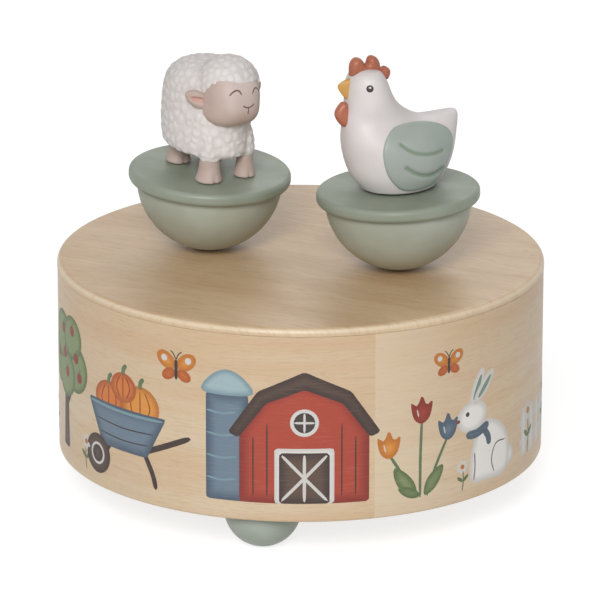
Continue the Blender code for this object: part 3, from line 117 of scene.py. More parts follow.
class Look:
    """A material with a Principled shader, and short calls for the nodes before it."""

    def __init__(self, name, roughness=0.5, **sockets):
        self.material = bpy.data.materials.new(name)
        self.material.use_nodes = True
        self.tree = self.material.node_tree
        self.shader = self.tree.nodes["Principled BSDF"]
        for socket, value in {"Roughness": roughness, **sockets}.items():
            self.shader.inputs[socket.replace("_", " ")].default_value = value
        where = self.node("TexCoord").outputs["Object"]
        self.place = self.stretched((1 / MM,) * 3, where)  # in millimetres

    def node(self, kind, inputs=None, **settings):
        return new_node(self.tree, kind, inputs, **settings)

    def stretched(self, scale, place):
        return self.node("VectorMath", {0: place, 1: scale}, operation="MULTIPLY").outputs[0]

    def turned(self, angle):
        """X, Y and Z of the point, turned about the drum's axis."""
        given = {"Vector": self.place, "Angle": angle}
        made = self.node("VectorRotate", given, rotation_type="Z_AXIS")
        return self.node("SeparateXYZ", {0: made}).outputs

    def noise(self, scale, detail, roughness=0.5, distortion=0.0, place=None):
        """Noise of a frequency in 1/mm, or of one along each axis."""
        where = place or self.place
        if isinstance(scale, tuple):
            where, scale = self.stretched(scale, where), 1.0
        given = {"Vector": where, "Scale": scale, "Detail": detail, "Roughness": roughness}
        return self.node("TexNoise", {**given, "Distortion": distortion}).outputs[0]

    def noises(self, table, place=None):
        return {name: self.noise(*values, place=place) for name, values in table.items()}

    def attribute(self, name):
        return self.node("Attribute", attribute_name=name).outputs["Fac"]

    def math(self, operation, first, second):
        return self.node("Math", {0: first, 1: second}, operation=operation).outputs[0]

    def ramp(self, value, low, high, to_low=0.0, to_high=1.0):
        given = {"Value": value, "From Min": low, "From Max": high, "To Min": to_low, "To Max": to_high}
        return self.node("MapRange", given, interpolation_type="SMOOTHSTEP").outputs[0]

    def mixed(self, share, first, second):
        """Two colours, written as they look or as sockets, mixed by a share."""
        colours = [c if isinstance(c, bpy.types.NodeSocket) else linear(c) for c in (first, second)]
        given = {0: share, 6: colours[0], 7: colours[1]}
        return self.node("Mix", given, data_type="RGBA").outputs[2]

    def tinted(self, base, masks, tints):
        """A colour with tints laid over it, each by a mask or by a value of the mesh: the
        mask's name, the tint, from where to where it comes in, and its share there."""
        for name, tint, low, high, most in tints:
            mask = masks[name] if name in masks else self.attribute(name)
            base = self.mixed(self.ramp(mask, low, high, 0.0, most), base, tint)
        return base

    def finished(self, colour, relief, depth, roughness=None):
        """The material with its colour, bumps of up to depth millimetres and its roughness."""
        bump = self.node("Bump", {"Height": relief, "Distance": depth * MM, "Strength": 1.0})
        wires = {"Base Color": colour, "Normal": bump.outputs[0], "Roughness": roughness}
        for socket, value in wires.items():
            if value is not None:
                self.tree.links.new(value, self.shader.inputs[socket])
        return self.material


VENEER_JOINT = math.radians(-17.3)
JOINT = math.pi * WALL_RADIUS  # the veneer's end, as a length round the wall
WALL_NOISES = {  # frequency round, up and through the wall, detail and roughness
    "bands": ((0.012, 0.16, 1.0), 3, 0.55),
    "fibres": ((0.11, 2.9, 1.0), 5, 0.7),
    "clouds": ((0.045, 0.075, 1.0), 2, 0.5),
    "dashes": ((0.34, 5.5, 1.0), 1, 0.5),
}
WALL_COLOUR = (218, 198, 169)
WALL_TINTS = (
    ("bands", (212, 184, 151), 0.36, 0.66, 1.0),
    ("clouds", (216, 188, 146), 0.42, 0.72, 0.40),
    # darker towards the top of the wall: partly the veneer's tone, partly painted shade under the top board's
    # lip
    ("height", (200, 168, 132), 24.0, 56.0, 0.45),
    ("fibres", (187, 153, 118), 0.48, 0.74, 0.55),
    ("dashes", (168, 134, 100), 0.58, 0.74, 0.34),
    ("round", (222, 207, 182), JOINT - 30.0, JOINT, 0.45),  # the sheet is paler where it begins
)


def round_the_drum(look):
    """Length round the drum and height: veneer is bent round with its grain level.
    The joint in the veneer lies right of the middle of the front."""
    x, y, z = look.turned(VENEER_JOINT)
    length = look.math("MULTIPLY", look.math("ARCTAN2", x, y), WALL_RADIUS)
    return look.node("CombineXYZ", {0: length, 1: z, 2: 0.0}).outputs[0]


def wall_wood():
    """The wood of the wall: broad soft bands, fine fibres and short dashes, all level, and darker towards the
    top, partly the veneer's own tone and partly painted shade under the top board's lip.
    """
    look = Look("wall_veneer")
    place = round_the_drum(look)
    masks = look.noises(WALL_NOISES, place)
    # The height mask carries the painted shade under the lip as well as the veneer's tone.
    masks["round"], masks["height"], _ = look.node("SeparateXYZ", {0: place}).outputs
    colour = look.tinted(WALL_COLOUR, masks, WALL_TINTS)
    fibres = masks["fibres"]
    return look.finished(colour, fibres, 0.03, look.ramp(fibres, 0.3, 0.8, 0.38, 0.52))


RIM_FROM, RIM_TO = 0.9, 0.25  # in from the edge
# The painted highlight on the edge fades out at the deeper level and is full at the shallower one.
RIM_DEEP, RIM_SHALLOW = 1.7, 0.7  # down from the top face
TOP_GRAIN = math.radians(27)
TOP_NOISES = {  # frequency along, across and through the grain, detail, roughness, distortion
    "bands": ((0.02, 0.10, 1.0), 3, 0.55, 0.4),
    "fibres": ((0.13, 0.85, 1.0), 5, 0.7, 0.2),
    "clouds": ((0.035, 0.06, 1.0), 2, 0.5),
    "flecks": ((0.30, 0.62, 1.0), 2, 0.5),
    "pores": ((0.5, 2.6, 1.0), 3, 0.7, 0.3),
}
# The edge colour is the turned edge's paler tone together with a painted highlight.
TOP_COLOUR, TOP_EDGE, TOP_LINE, TOP_STAIN = (
    (206, 177, 140), (224, 205, 176), (171, 135, 95), (136, 128, 122)
)
TOP_TINTS = (("bands", (195, 162, 122), 0.36, 0.66, 1.0), ("clouds", (190, 160, 123), 0.45, 0.72, 0.5))
PORE_TINTS = (("pores", (173, 139, 100), 0.50, 0.72, 0.30),)


def top_wood():
    """The top board: short slanting grain, faint grey flecks and a paler turned edge, partly the edge's own
    paler tone and partly a painted highlight on its upper rounding.
    """
    look = Look("top_veneer", Coat_Weight=0.3, Coat_Roughness=0.4)
    x, y, z = look.turned(TOP_GRAIN)
    flat = look.node("CombineXYZ", {0: x, 1: y, 2: 0.0}).outputs[0]
    masks = look.noises(TOP_NOISES, flat)
    fibres = masks["fibres"]
    radius = look.node("VectorMath", {0: flat}, operation="LENGTH").outputs["Value"]
    rim = look.ramp(radius, RIM_RADIUS - RIM_FROM, RIM_RADIUS - RIM_TO)
    # Paler at the edge: its own tone, lightened towards the top of its rounding as a painted highlight.
    rounded = look.math("MULTIPLY", rim, look.ramp(z, TOP - RIM_DEEP, TOP - RIM_SHALLOW, 0.35, 1.0))
    colour = look.mixed(rounded, look.tinted(TOP_COLOUR, masks, TOP_TINTS), TOP_EDGE)
    lines = look.math("MULTIPLY", look.ramp(fibres, 0.46, 0.74), look.ramp(rim, 0.0, 1.0, 0.5, 0.22))
    colour = look.tinted(look.mixed(lines, colour, TOP_LINE), masks, PORE_TINTS)
    cloudy = look.ramp(masks["clouds"], 0.38, 0.62, 0.0, 0.42)
    stain = look.math("MULTIPLY", look.ramp(masks["flecks"], 0.62, 0.74), cloudy)
    stain = look.math("MULTIPLY", stain, look.math("SUBTRACT", 1.0, rim))
    colour = look.mixed(stain, colour, TOP_STAIN)
    return look.finished(colour, fibres, 0.012, look.ramp(fibres, 0.3, 0.8, 0.42, 0.50))


def layered(name, colour, roughness, noises, tints, depth, wander=None, **sockets):
    """A material from its colour, noises and tints, with bumps from the noise "relief".
    Wander names the noise that moves the roughness, and how far down and up."""
    look = Look(name, roughness, **sockets)
    masks = look.noises(noises)
    rough = None
    if wander:
        mask, down, up = wander
        rough = look.ramp(masks[mask], 0.3, 0.7, roughness - down, roughness + up)
    return look.finished(look.tinted(colour, masks, tints), masks["relief"], depth, rough)


def plywood():
    noises = {"bands": ((0.05, 0.5, 0.5), 3), "relief": ((0.2, 3.0, 3.0), 4, 0.6)}
    tints = (("bands", (200, 170, 132), 0.35, 0.65, 1.0), ("relief", (168, 136, 100), 0.5, 0.8, 0.5))
    return layered("plywood", (214, 190, 156), 0.65, noises, tints, 0.04)


def painted(name, colour, shade, roughness, depth=0.02):
    """A sprayed or moulded coat: a slow drift of its tone, and a fine skin."""
    noises = {"drift": (0.09, 2, 0.5), "speckle": (2.4, 3, 0.6), "relief": (1.2, 3, 0.6)}
    tints = (("drift", shade, 0.35, 0.68, 1.0), ("speckle", shade, 0.62, 0.85, 0.25))
    return layered(name, colour, roughness, noises, tints, depth, ("drift", 0.04, 0.06))


def metal(name, colour, roughness):
    """Machined metal with fine tool marks and small stains."""
    noises = {"relief": ((2.0, 2.0, 2.0), 4, 0.7), "stains": (0.22, 3, 0.6)}
    tints = (("stains", tuple(c * 0.72 for c in colour), 0.45, 0.75, 0.6),)
    wander = ("relief", 0.08, 0.14)
    return layered(name, colour, roughness, noises, tints, 0.01, wander, Metallic=1.0)


DRIFT = (0.35, 0.7, 1.0)  # how a slow drift of the tone comes in


def wool_look():
    """Cast wool: nearly white, with painted shade that makes it a little warmer and darker down between the
    curls.
    """
    noises = {"drift": (0.12, 3, 0.55), "relief": (3.2, 3, 0.65)}
    tints = (("drift", (220, 213, 210), *DRIFT), ("furrow_shade", (208, 200, 196), 0.0, 1.0, 0.6))
    return layered("wool", (227, 222, 220), 0.78, noises, tints, 0.03)


def face_look():
    """Smooth beige-pink resin, pink in the ears, with a painted highlight that makes the front of the face
    paler round the eyes.
    """
    noises = {"drift": (0.16, 2, 0.5), "relief": (2.2, 3, 0.6)}
    tints = (
        ("drift", (184, 162, 151), *DRIFT),
        ("blush", (206, 158, 147), 0.0, 1.0, 0.75),
        ("face_highlight", (209, 192, 185), 0.0, 1.0, 0.85),
    )
    return layered("sheep_skin", (193, 173, 163), 0.62, noises, tints, 0.012)


def wing_look():
    """Sage paint, darker in the grooves as painted shade."""
    noises = {"drift": (0.11, 2), "relief": (1.6, 3, 0.6)}
    tints = (("drift", (154, 163, 156), *DRIFT), ("groove", (120, 137, 116), 0.25, 0.85, 0.8))
    return layered("sage_wing", (162, 170, 163), 0.50, noises, tints, 0.02)


def ink(name, colour, shade, reach):
    """Printed paint with an airbrushed edge and the wood's fibres in it."""
    look = Look("ink_" + name, 0.52)
    fibres = look.noise((0.14, 2.8, 1.0), 4, 0.65, place=round_the_drum(look))
    speckle = look.noise(2.4, 3, 0.7)
    ragged = look.math("ADD", look.attribute("edge"), look.math("MULTIPLY", speckle, 0.8))
    near = look.ramp(ragged, 0.5, reach + 0.5, 1.0, 0.0)
    light = tuple(c + (255 - c) * 0.35 for c in colour)
    tints = (("speckle", shade, 0.52, 0.72, 0.30), ("fibres", light, 0.52, 0.78, 0.30))
    masks = {"speckle": speckle, "fibres": fibres}
    return look.finished(look.tinted(look.mixed(near, colour, shade), masks, tints), fibres, 0.02)


# Meshes


def added(name, data):
    """An object for the data, in the scene."""
    made = bpy.data.objects.new(name, data)
    bpy.context.scene.collection.objects.link(made)
    return made


def new_piece(name, shape, looks, body, slot_name, node=None, smooth=35.0, values=None, place=None):
    """A mesh piece from points in millimetres and faces, put in place and set to ride on its body,
    with the CAD node that it takes the place of hidden."""
    points, faces = shape
    mesh = bpy.data.meshes.new(name)
    mesh.from_pydata([Vector(p) * MM for p in points], [], faces)
    mesh.validate()
    for attribute, numbers in (values or {}).items():
        made = mesh.attributes.new(attribute, "FLOAT", "POINT")
        made.data.foreach_set("value", np.asarray(numbers, np.float32))
    mesh.shade_smooth()
    if smooth < 180:
        mesh.set_sharp_from_angle(angle=math.radians(smooth))
    for look in looks if isinstance(looks, list) else [looks]:
        mesh.materials.append(look)
    piece = added(name, mesh)
    if place is None:
        place = PLACES[body]
    scaled_place = place.copy()
    scaled_place.translation *= MM
    mesh.transform(scaled_place)
    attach(piece, body)
    if node:
        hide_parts(node)
    return piece


def arc(centre, radius, start, end, steps):
    angles = [start + (end - start) * i / steps for i in range(steps + 1)]
    return [(centre[0] + radius * math.cos(a), centre[1] + radius * math.sin(a)) for a in angles]


def ring_of(count):
    return [TURN * i / count for i in range(count)]


def loop(count):
    """Each of count numbers with the next one, round a ring."""
    return [(i, (i + 1) % count) for i in range(count)]


def lathe(profile, steps):
    """A closed turned shape from (radius, height) points, down its outer side.
    A profile that starts on the axis ends there; another is a ring."""
    points, rows = [], []
    for radius, height in profile:
        if radius < 1e-6:
            rows.append([len(points)] * steps)
            points.append((0, 0, height))
        else:
            rows.append(list(range(len(points), len(points) + steps)))
            points += [(radius * math.cos(a), radius * math.sin(a), height) for a in ring_of(steps)]
    pairs = list(zip(rows, rows[1:]))
    if profile[0][0] >= 1e-6:
        pairs.append((rows[-1], rows[0]))
    faces = []
    for upper, lower in pairs:
        for i, j in loop(steps):
            face = [upper[i], lower[i], lower[j], upper[j]]
            face = [v for k, v in enumerate(face) if v not in face[:k]]
            if len(face) > 2:
                faces.append(face)
    return points, faces


def at(place, turn=None):
    return Matrix.Translation(place) @ (turn.to_matrix().to_4x4() if turn else Matrix.Identity(4))


PLACES = {"music_box": Matrix.Identity(4), "sheep": at(SHEEP_BALL, SHEEP_TURN), "hen": at(HEN_BALL, HEN_TURN)}


# Drum
DRUM_STEPS, ROUND_STEPS, EDGE_STEPS = 384, 5, 8
WALL_FOOT_ROUND = 0.6
SEAM, TOP_EDGE_ROUND = 0.08, 1.5
LEDGE, WALL_THICKNESS = 5.0, 8.0
BEVEL, LIP_BEVEL = 0.05, 0.06
SPIGOT, SPIGOT_GAP, RECESS, RECESS_RADIUS = 1.4, 0.3, 0.4, 6.3
TOP_RINGS = (0, 20, 40)  # radii of the rings in the top face


def drum(wood, top):
    edge = (WALL_RADIUS - WALL_FOOT_ROUND, UNDERSIDE + WALL_FOOT_ROUND)
    inner = RIM_RADIUS - WALL_THICKNESS
    ledge = UNDERSIDE + LEDGE + REBATE_GAP
    profile = [(inner, WALL_TOP), (WALL_RADIUS - BEVEL, WALL_TOP), (WALL_RADIUS, WALL_TOP - BEVEL)]
    profile += arc(edge, WALL_FOOT_ROUND, 0, -QUARTER, ROUND_STEPS)
    profile += [(REBATE_RADIUS, UNDERSIDE), (REBATE_RADIUS, ledge), (inner, ledge)]
    new_piece("turned_drum_wall", lathe(profile, DRUM_STEPS), wood, "music_box", "drum_wall", "drum_wall")

    middle = (RIM_RADIUS - TOP_EDGE_ROUND, TOP - TOP_EDGE_ROUND)
    lip = WALL_TOP + SEAM
    end, side = lip - SPIGOT, inner - SPIGOT_GAP
    profile = [(radius, TOP) for radius in TOP_RINGS]
    profile += arc(middle, TOP_EDGE_ROUND, QUARTER, 0, EDGE_STEPS)
    profile += [(RIM_RADIUS, lip + LIP_BEVEL), (RIM_RADIUS - LIP_BEVEL, lip), (side, lip), (side, end)]
    profile += [(RECESS_RADIUS, end), (RECESS_RADIUS, lip - RECESS), (0, lip - RECESS)]
    new_piece("turned_top_board", lathe(profile, DRUM_STEPS), top, "music_box", "top_board", "top_board")


FOOT_RADIUS, FOOT_FLAT, FOOT_SEAT = 9.4, 2.0, 9.9
PEG_RADIUS, PEG_TOP = 3.0, 13.7
FOOT_STEPS, FOOT_RINGS = 72, 30


def feet(look):
    middle = math.sqrt(FOOT_RADIUS**2 - FOOT_FLAT**2)
    start = math.asin((FOOT_SEAT - middle) / FOOT_RADIUS)
    profile = [(0, PEG_TOP), (PEG_RADIUS, PEG_TOP), (PEG_RADIUS, FOOT_SEAT)]
    profile += arc((0, middle), FOOT_RADIUS, start, -math.acos(FOOT_FLAT / FOOT_RADIUS), FOOT_RINGS)
    shape = lathe(profile + [(0, 0)], FOOT_STEPS)
    for side in ("front", "right", "left"):
        name = f"foot_{side}"
        low, high = corners(name)
        place = at(Vector(((low.x + high.x) / 2, (low.y + high.y) / 2, 0)))
        new_piece(f"ball_{name}", shape, look, "music_box", "ball_foot", name, place=place)


MAGNET_BORE, MAGNET_FLOOR = 5.3, -16.4
CUP_GAP = 0.3  # between the half ball's rim and its lid
LID_RING = 9.0  # radius of the ring in the lid's top face
CUP_STEPS, CUP_RINGS = 144, 40


def cup(figure, cup_look, lid_look):
    rim = LID_BOTTOM - CUP_GAP
    start = math.asin(rim / BALL_RADIUS)
    profile = [(0, MAGNET_FLOOR), (MAGNET_BORE, MAGNET_FLOOR), (MAGNET_BORE, rim)]
    profile += arc((0, 0), BALL_RADIUS, start, -QUARTER, CUP_RINGS)[:-1] + [(0, -BALL_RADIUS)]
    shape = lathe(profile, CUP_STEPS)
    new_piece(f"turned_{figure}_cup", shape, cup_look, figure, "sage_light", f"{figure}_cup")
    edge = LID_RADIUS - LID_ROUND
    profile = [(0, LID_TOP), (LID_RING, LID_TOP)]
    profile += arc((edge, LID_TOP - LID_ROUND), LID_ROUND, QUARTER, 0, EDGE_STEPS)
    profile += arc((edge, LID_BOTTOM + LID_ROUND), LID_ROUND, 0, -QUARTER, EDGE_STEPS)
    shape = lathe(profile + [(0, LID_BOTTOM)], CUP_STEPS)
    new_piece(f"turned_{figure}_lid", shape, lid_look, figure, "sage_dark", f"{figure}_lid")


# Soft rounded forms


def evaluated(points, faces, modifiers):
    """Points, faces and normals of a shape after Blender's modifiers, all in millimetres."""
    mesh = bpy.data.meshes.new("cage")
    mesh.from_pydata([tuple(p) for p in points], [], faces)
    holder = added("cage", mesh)
    for kind, settings in modifiers:
        modifier = holder.modifiers.new(kind, kind)
        for key, value in settings.items():
            setattr(modifier, key, value)
    graph = bpy.context.evaluated_depsgraph_get()
    made = bpy.data.meshes.new_from_object(holder.evaluated_get(graph))
    bpy.data.objects.remove(holder, do_unlink=True)
    bpy.data.meshes.remove(mesh)
    spots = np.array([v.co for v in made.vertices])
    normals = np.array([v.normal for v in made.vertices])
    skins = [list(f.vertices) for f in made.polygons]
    bpy.data.meshes.remove(made)
    return spots, skins, normals


def subdivided(points, faces, levels):
    return evaluated(points, faces, [("SUBSURF", {"levels": levels})])


def joined(shapes):
    """Several (points, faces) shapes as one list of points and faces."""
    points, faces = [], []
    for more, skins in shapes:
        start = len(points)
        points += [tuple(p) for p in more]
        faces += [[v + start for v in face] for face in skins]
    return points, faces


def fused(shapes, voxel, smoothing):
    """One smooth skin round shapes that overlap."""
    remesh = ("REMESH", {"mode": "VOXEL", "voxel_size": voxel})
    smooth = ("SMOOTH", {"factor": 0.5, "iterations": smoothing})
    return evaluated(*joined(shapes), [remesh, smooth])


def ball(centre, radii, steps=40, rings=20):
    """An ellipsoid from its middle and its three radii."""
    angles = [math.pi * i / rings for i in range(1, rings)]
    profile = [(0, 1), *((math.sin(a), math.cos(a)) for a in angles), (0, -1)]
    points, faces = lathe(profile, steps)
    return [tuple(c + r * p for c, r, p in zip(centre, radii, point)) for point in points], faces


def lofted(rings):
    """A closed cage through rings of as many points each, from the lowest to the highest."""
    count = len(rings[0])
    points = [point for ring in rings for point in ring]
    top = len(points) - count
    faces = [
        [low + i, low + j, low + count + j, low + count + i]
        for low in range(0, top, count)
        for i, j in loop(count)
    ]
    return points, faces + [list(range(count))[::-1], list(range(top, top + count))]


def walled(front, back, faces, count):
    """A closed solid from its front and its back, joined round their first count points."""
    shift = len(front)
    skins = faces + [[v + shift for v in face][::-1] for face in faces]
    skins += [[i, i + shift, j + shift, j] for i, j in loop(count)]
    return [*front, *back], skins


# Outlines


def smooth_line(points, steps, closed=False):
    """A Catmull-Rom curve through points in a plane or in space."""
    spots = [np.array(p, float) for p in points]
    count = len(spots)
    line = []
    for i in range(count if closed else count - 1):
        near = [(i + k) % count if closed else min(max(i + k, 0), count - 1) for k in (-1, 0, 1, 2)]
        a, b, c, d = (spots[k] for k in near)
        for t in (step / steps for step in range(steps)):
            curve = 2 * b + (c - a) * t + (2 * a - 5 * b + 4 * c - d) * t**2
            line.append(0.5 * (curve + (3 * b - a - 3 * c + d) * t**3))
    if not closed:
        line.append(spots[-1])
    return [tuple(float(x) for x in p) for p in line]


def spaced(outline, spacing, closed=True):
    """The same line with its points about as far apart as spacing."""
    spots = np.array(outline, float)
    if closed:
        spots = np.vstack([spots, spots[:1]])
    lengths = np.linalg.norm(np.diff(spots, axis=0), axis=1)
    along = np.concatenate([[0], np.cumsum(lengths)])
    count = max(3, round(along[-1] / spacing))
    wanted = np.linspace(0, along[-1], count + 1)
    line = np.stack([np.interp(wanted, along, spots[:, k]) for k in range(spots.shape[1])], 1)
    return line[:-1] if closed else line


def edge_distance(spots, outline, closed=True):
    """How far each spot is from a line."""
    starts = np.array(outline, float)
    ends = np.roll(starts, -1, 0)
    if not closed:
        starts, ends = starts[:-1], ends[:-1]
    best = np.full(len(spots), np.inf)
    for a, b in zip(starts, ends):
        d = b - a
        t = np.clip(((spots - a) @ d) / max(d @ d, 1e-12), 0, 1)
        best = np.minimum(best, np.linalg.norm(spots - a - t[:, None] * d, axis=1))
    return best


def inside(spots, outline):
    """Which spots lie in an outline."""
    outline = np.array(outline, float)
    hit = np.zeros(len(spots), bool)
    for a, b in zip(outline, np.roll(outline, -1, 0)):
        crossed = (a[1] > spots[:, 1]) != (b[1] > spots[:, 1])
        with np.errstate(divide="ignore", invalid="ignore"):
            at_x = a[0] + (spots[:, 1] - a[1]) * (b[0] - a[0]) / (b[1] - a[1])
        hit ^= crossed & (spots[:, 0] < at_x)
    return hit


def anticlockwise(outline):
    line = np.array(outline, float)
    x, y = line[:, 0], line[:, 1]
    area = np.sum(x * np.roll(y, -1) - np.roll(x, -1) * y)
    return line if area > 0 else line[::-1]


def inset(outline, depth):
    """The outline drawn in by a small depth, with as many points."""
    line = np.array(outline, float)
    along = np.roll(line, -1, 0) - np.roll(line, 1, 0)
    along /= np.maximum(np.linalg.norm(along, axis=1), 1e-9)[:, None]
    return line + depth * np.stack([-along[:, 1], along[:, 0]], 1)


GRID_ROWS, GRID_CLEAR = 0.87, 0.55  # shares of the spacing: between rows, and off the edge


def filled(outline, spacing, insets=()):
    """Points and triangles inside an outline, its own points first, and their distance to it."""
    line = spaced(anticlockwise(outline), spacing)
    count = len(line)
    rows = [line] + [inset(line, depth) for depth in insets]
    inner = rows[-1]
    low, high = line.min(0), line.max(0)
    columns = np.arange(low[0] + spacing / 2, high[0], spacing)
    lines = np.arange(low[1] + spacing / 2, high[1], spacing * GRID_ROWS)
    grid = np.array([(x + spacing / 2 * (k % 2), y) for k, y in enumerate(lines) for x in columns])
    grid = grid.reshape(-1, 2)
    grid = grid[inside(grid, inner)]
    grid = grid[edge_distance(grid, inner) > spacing * GRID_CLEAR]
    ring = [list(range(count))]
    spots = [Vector(p) for p in np.vstack([inner, grid])]
    made = geometry.delaunay_2d_cdt(spots, [], ring, 1, 1e-5)
    points = np.vstack([*rows[:-1], [tuple(p) for p in made[0]]])
    start = count * len(insets)
    faces = [[v + start for v in face] for face in made[2]]
    for a in range(0, start, count):
        faces += [[a + i, a + j, a + count + j, a + count + i] for i, j in loop(count)]
    distance = edge_distance(points, line)
    distance[:count] = 0
    return points, faces, distance, count


def pillow(distance, thickness, rounding):
    """Half the thickness of a puffed shape, this far from its edge."""
    share = np.clip(distance / rounding, 0, 1)
    return thickness / 2 * np.sqrt(np.clip(1 - (1 - share) ** 2, 0, 1))


TRIM_INSETS, TRIM_SPACING = (0.04, 0.12, 0.26, 0.48), 0.3


def puffed(outline, thickness, rounding, taper):
    """A rounded solid on the middle plane of a figure, from its outline in X and Z.
    A taper in millimetres narrows it over that length towards its front."""
    points, faces, distance, count = filled(outline, TRIM_SPACING, TRIM_INSETS)
    half = pillow(distance, thickness, rounding)
    if taper:
        half *= np.clip((points[:, 0].max() - points[:, 0]) / taper, 0, 1) ** 0.8
    near = [(x, -y, z + STAND) for (x, z), y in zip(points, half)]
    far = [(x, y, z + STAND) for (x, z), y in zip(points, half)]
    back = {i: i if i < count else i + len(points) - count for i in range(len(points))}
    return near + far[count:], faces + [[back[v] for v in face][::-1] for face in faces]


# Sheep
FLEECE_TOP, FLEECE_BOTTOM = 27.8, 5.0
FLEECE_HALF_LENGTH, FLEECE_HALF_WIDTH = 13.6, 11.0
FLEECE_EGG, FLEECE_SIDE = -0.10, -0.45
FLEECE_RINGS = (  # height, length, width and shift forward, as shares
    (0.00, 0.80, 0.80, -0.03),
    (0.05, 1.00, 1.00, -0.05),
    (0.22, 1.02, 0.98, -0.13),
    (0.55, 1.03, 0.98, -0.13),
    (0.80, 0.99, 0.95, -0.10),
    (0.95, 0.76, 0.76, -0.04),
    (1.01, 0.36, 0.36, 0.00),
)
RING_POINTS = 12
FACE_STEPS, EAR_STEPS, LEG_STEPS, EYE_STEPS = (96, 72), (64, 48), 64, (48, 24)
HEAD, FACE_LENGTH, FACE_WIDTH = (7.6, -0.25, 20.2), 7.7, 7.15  # half a width
FOREHEAD, CHIN, FACE_SQUARE = 8.0, 6.3, 3.0
CAP, CAP_RADII = (6.3, 0.2, 24.0), (7.9, 7.9, 7.0)
TAIL, TAIL_RADII = (-14.6, 0.0, 13.5), (2.6, 2.6, 3.6)
EARS = {"left": (4.8, 8.7, 20.6), "right": (6.2, -8.6, 20.9)}
EAR_RADII = (1.2, 2.7, 2.2)  # thickness, length and height
EAR_RISE = 0.9  # of its tip over its middle
EAR_SWEEP = math.radians(32)  # of the ear, back from straight out
LEGS = {  # place of each, its size and that of the wool round it
    "foreleg_left": (7.8, 5.1, 0.82, 0.84),
    "foreleg_right": (7.9, -5.0, 1.0, 1.0),
    "hindleg_left": (-7.7, 4.6, 0.93, 0.93),
    "hindleg_right": (-7.7, -4.6, 0.93, 0.93),
}
CUFF_PROFILE = ((0, 13.0), (1.8, 12.6), (2.6, 9.5), (2.9, 7.0), (2.8, 5.2), (0, 5.2))
FLEECE_GRAIN, FLEECE_SMOOTHING, CUFF_STEPS = 0.34, 10, 32
FLEECE_SEED, CURL_SEED, FINE_SEED = 5, 3, 8
CURL_SPACING, CURL_HEIGHT, CURL_TURNS, CURL_WARP = 1.9, 0.27, 1.2, 0.7
CURL_SWIRL, FINE_SHARE = 0.20, 0.25
FLEECE_INSET = 0.25  # so that the curls stand as far out as the CAD fleece
FACE_OPENING = (  # edge of the wool round the face, in Y and Z
    (-7.1, 20.5), (-7.3, 23.0), (-6.8, 25.2), (-4.8, 25.7), (-1.5, 25.6), (1.6, 25.5), (4.2, 25.8),
    (5.7, 25.9), (6.4, 24.0), (6.2, 20.5), (5.6, 17.4), (4.2, 15.1), (1.6, 14.45), (-1.2, 14.4),
    (-4.2, 14.6), (-6.0, 15.6), (-6.9, 17.8),
)
OPENING_FRONT = 5.0  # the opening is cut in what lies ahead of this
OPENING_SLOPE, WOOL_UNDER_FACE, SCALLOP = 1.1, 0.8, 0.3


def fleece_cage():
    rings = []
    for height, length, width, shift in FLEECE_RINGS:
        z = FLEECE_BOTTOM + (FLEECE_TOP - FLEECE_BOTTOM) * height
        ring = []
        for a in ring_of(RING_POINTS):
            x = FLEECE_HALF_LENGTH * (shift + length * math.cos(a))
            across = width * math.sin(a) * (1 + FLEECE_EGG * math.cos(a))
            ring.append((x, FLEECE_HALF_WIDTH * across + FLEECE_SIDE, z))
        rings.append(ring)
    return lofted(rings)


def scattered(points, spacing, seed):
    """Points picked so that no two are closer than spacing, the same ones each run."""
    order = list(range(len(points)))
    random.Random(seed).shuffle(order)
    kept = np.empty((0, 3))
    chosen = []
    for i in order:
        if not len(kept) or np.min(np.sum((kept - points[i]) ** 2, 1)) > spacing**2:
            kept = np.vstack([kept, points[i]])
            chosen.append(i)
    return chosen


def curl_heights(points, normals, spacing, seed, swirl):
    """For each point the height of the curl it lies on, 0 to 1, and how deep between curls it lies, which the
    wool's material darkens as painted shade.
    """
    centres = scattered(points, spacing, seed)
    tree = kdtree.KDTree(len(centres))
    for k, i in enumerate(centres):
        tree.insert(points[i], k)
    tree.balance()
    spin = random.Random(seed + 1)
    starts = [spin.uniform(0, TURN) for _ in centres]
    hands = [spin.choice((-1, 1)) for _ in centres]
    heights, furrows = np.zeros(len(points)), np.zeros(len(points))
    for v, point in enumerate(points):
        warp = noise.noise_vector(Vector(point) / spacing) * CURL_WARP
        (_, k, near), (_, _, far) = tree.find_n(Vector(point) + warp, 2)
        share = near / max(far, 1e-6)
        normal = Vector(normals[centres[k]])
        side = normal.orthogonal().normalized()
        out = Vector(point - points[centres[k]])
        angle = math.atan2(out.dot(normal.cross(side)), out.dot(side))
        turn = math.sin(angle * hands[k] + starts[k] + near / spacing * TURN * CURL_TURNS)
        rise = 0.5 + 0.5 * math.cos(math.pi * share)
        heights[v] = rise + swirl * turn * min(1.0, share * 2.5) * (1 - share**4)
        furrows[v] = 1 - rise - swirl * turn
    return heights, np.clip(furrows, 0, 1)


